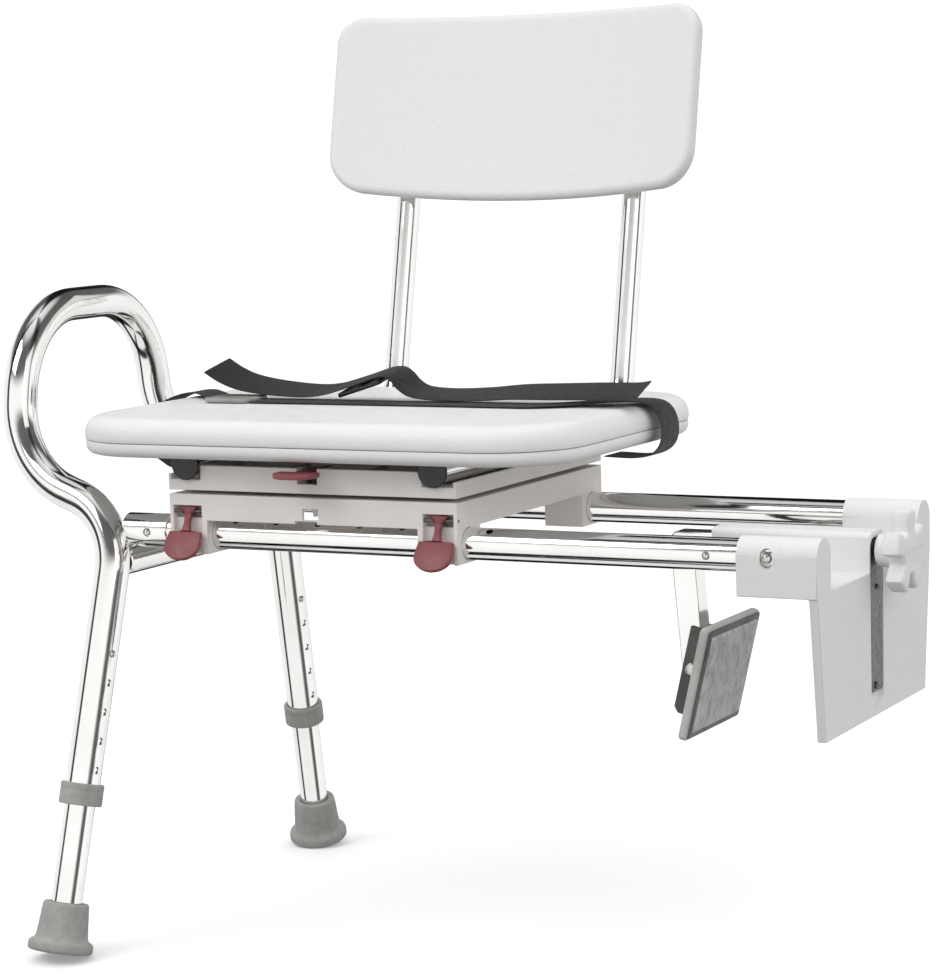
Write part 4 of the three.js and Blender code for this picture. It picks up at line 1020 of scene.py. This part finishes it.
def make_belt():
    stands_for(strap("right_strap", RIGHT_STRAP, belt_middle, lambda x: 0), "belt_strap_right")
    stands_for(strap("left_strap", LEFT_STRAP, belt_middle, lambda x: 0), "belt_strap_left")
    stands_for(strap("loose_strap", LOOSE_STRAP, lambda x: BELT_LOOSE_Y, loose_roll), "belt_strap_loose")
    outline = rounded_rect(63, BELT_SEAT_Y, 25, 22, 8)
    stands_for(slab("belt_catch", [outline], "z", SEAT_TOP + 0.4, 494, 1.6), "belt_buckle")
    hinge = Matrix.Translation((0, -BELT_HINGE * BELT_HALF, 0))
    roll = hinge @ Matrix.Rotation(loose_roll(SLIDER_X), 4, "X") @ hinge.inverted()
    tip = Matrix.Rotation(SLIDER_TILT, 4, "Y") @ roll
    tip = Matrix.Translation((SLIDER_X, BELT_LOOSE_Y, SLIDER_Z)) @ tip
    windows = [rounded_rect(x, 0, 7, 18, 1.5, steps=4) for x in (-11, 11)]
    bar = slab("belt_slider", [rounded_rect(0, 0, 24, 23, 5), *windows], "z", -2, 2, 1.2, turn=tip)
    stands_for(bar, "belt_adjuster")


# ------------------------------------------------------------------ setting
def make_floor():
    """A pale floor that catches the shadows but lights nothing and is not mirrored in the chrome."""
    mesh = bpy.data.meshes.new("floor")
    corners = [(x * FLOOR_HALF, y * FLOOR_HALF, 0) for x, y in ((-1, -1), (1, -1), (1, 1), (-1, 1))]
    mesh.from_pydata(corners, [], [(0, 1, 2, 3)])
    floor = bpy.data.objects.new("floor", mesh)
    bpy.context.collection.objects.link(floor)
    look = Look("floor_paint", (0.95, 0.95, 0.95), 0.9)
    look.tint(look.noise(400), (0.94, 0.94, 0.94), (0.96, 0.96, 0.96))
    look.shader.inputs["Emission Color"].default_value = (1, 1, 1, 1)
    look.shader.inputs["Emission Strength"].default_value = 0.16
    mesh.materials.append(look.material)
    floor.visible_diffuse = False
    floor.visible_glossy = False


def make_world():
    """A white studio that lights from above, with dark flags that only reflections pick up."""
    world = bpy.data.worlds.new("studio")
    bpy.context.scene.world = world
    world.use_nodes = True
    nodes, links = world.node_tree.nodes, world.node_tree.links
    sky = nodes["Background"]
    place = nodes.new("ShaderNodeTexCoord").outputs["Generated"]
    split = nodes.new("ShaderNodeSeparateXYZ")
    links.new(place, split.inputs["Vector"])

    def ramp(value, stops):
        node = nodes.new("ShaderNodeValToRGB")
        node.color_ramp.interpolation = "EASE"
        elements = node.color_ramp.elements
        elements[0].position, elements[0].color = stops[0][0], (*[stops[0][1]] * 3, 1)
        elements[1].position, elements[1].color = stops[-1][0], (*[stops[-1][1]] * 3, 1)
        for position, level in stops[1:-1]:
            elements.new(position).color = (level, level, level, 1)
        links.new(value, node.inputs["Fac"])
        return node.outputs["Color"]

    def maths(kind, a, b=None):
        node = nodes.new("ShaderNodeMath")
        node.operation = kind
        for socket, value in zip(node.inputs, (a, b)):
            if isinstance(value, (int, float)):
                socket.default_value = value
            elif value is not None:
                links.new(value, socket)
        return node.outputs[0]

    height = maths("ADD", maths("MULTIPLY", split.outputs["Z"], 0.5), 0.5)
    low_bands = [(0.0, 0.8), (0.07, 0.85), (0.085, 0.02), (0.14, 0.02), (0.165, 0.9)]
    high_bands = [(0.44, 1.0), (0.62, 1.0), (0.74, 0.12), (0.9, 0.1), (0.97, 0.7), (1, 0.9)]
    bands = ramp(height, low_bands + high_bands)
    turn = maths("ARCTAN2", split.outputs["Y"], split.outputs["X"])
    around = maths("ADD", maths("MULTIPLY", turn, 1 / (2 * math.pi)), 0.5)
    near_strips = [(0.0, 0.9), (0.05, 0.9), (0.065, 0.05), (0.1, 0.04), (0.12, 1.0), (0.4, 1.0)]
    mid_strips = [(0.45, 0.12), (0.49, 0.1), (0.52, 1.0), (0.77, 0.85)]
    far_strips = [(0.8, 0.03), (0.86, 0.03), (0.89, 0.9), (1, 0.9)]
    strips = ramp(around, near_strips + mid_strips + far_strips)
    daylight = ramp(height, [(0.0, 0.25), (0.44, 0.33), (0.56, 0.66), (1, 1.0)])

    def mixed(factor, first, second, blend="MIX"):
        node = nodes.new("ShaderNodeMix")
        node.data_type = "RGBA"
        node.blend_type = blend
        for socket, value in (("Factor", factor), ("A", first), ("B", second)):
            if isinstance(value, (float, tuple)):
                node.inputs[socket].default_value = value
            else:
                links.new(value, node.inputs[socket])
        return node.outputs["Result"]

    path = nodes.new("ShaderNodeLightPath")
    mirrored = mixed(1.0, bands, strips, "MULTIPLY")
    lit = mixed(path.outputs["Is Glossy Ray"], daylight, mirrored)
    seen = mixed(path.outputs["Is Camera Ray"], lit, (1.0, 1.0, 1.0, 1.0))
    links.new(seen, sky.inputs["Color"])
    sky.inputs["Strength"].default_value = 1.12


def make_light(name, place, target, size, power):
    """A square area lamp: its places and size are in metres and its power in watts."""
    data = bpy.data.lights.new(name, "AREA")
    data.energy = power
    data.size = size
    lamp = bpy.data.objects.new(name, data)
    lamp.location = place
    lamp.rotation_euler = (Vector(target) - Vector(place)).to_track_quat("-Z", "Y").to_euler()
    bpy.context.collection.objects.link(lamp)


def make_camera():
    azimuth, elevation, roll = (math.radians(a) for a in (VIEW_AZIMUTH, VIEW_ELEVATION, VIEW_ROLL))
    forward = Vector(
        (
            -math.sin(azimuth) * math.cos(elevation),
            math.cos(azimuth) * math.cos(elevation),
            -math.sin(elevation),
        )
    )
    level = Vector((math.cos(azimuth), math.sin(azimuth), 0))
    upright = level.cross(forward)
    right = level * math.cos(roll) + upright * math.sin(roll)
    up = upright * math.cos(roll) - level * math.sin(roll)
    data = bpy.data.cameras.new("camera")
    data.sensor_width = 36
    data.lens = VIEW_LENS
    camera = bpy.data.objects.new("camera", data)
    turn = Matrix((right, up, -forward)).transposed().to_4x4()
    camera.matrix_world = Matrix.Translation(at(*VIEW_PLACE)) @ turn
    bpy.context.collection.objects.link(camera)
    bpy.context.scene.camera = camera


make_camera()
make_world()
make_floor()
make_light("key", (-1.6, -2.2, 2.6), (0, 0, 0.45), 1.6, 26)
make_light("fill", (2.4, -1.2, 1.6), (0, 0, 0.45), 1.8, 10)
bpy.context.scene.view_settings.view_transform = "Standard"

make_frame_tubes()
make_rails()
make_buttons()
make_legs()
make_seat()
make_backrest()
make_posts()
make_carriage()
make_mount()
make_knob()
make_thread()
make_clamp()
make_pad()
make_belt()
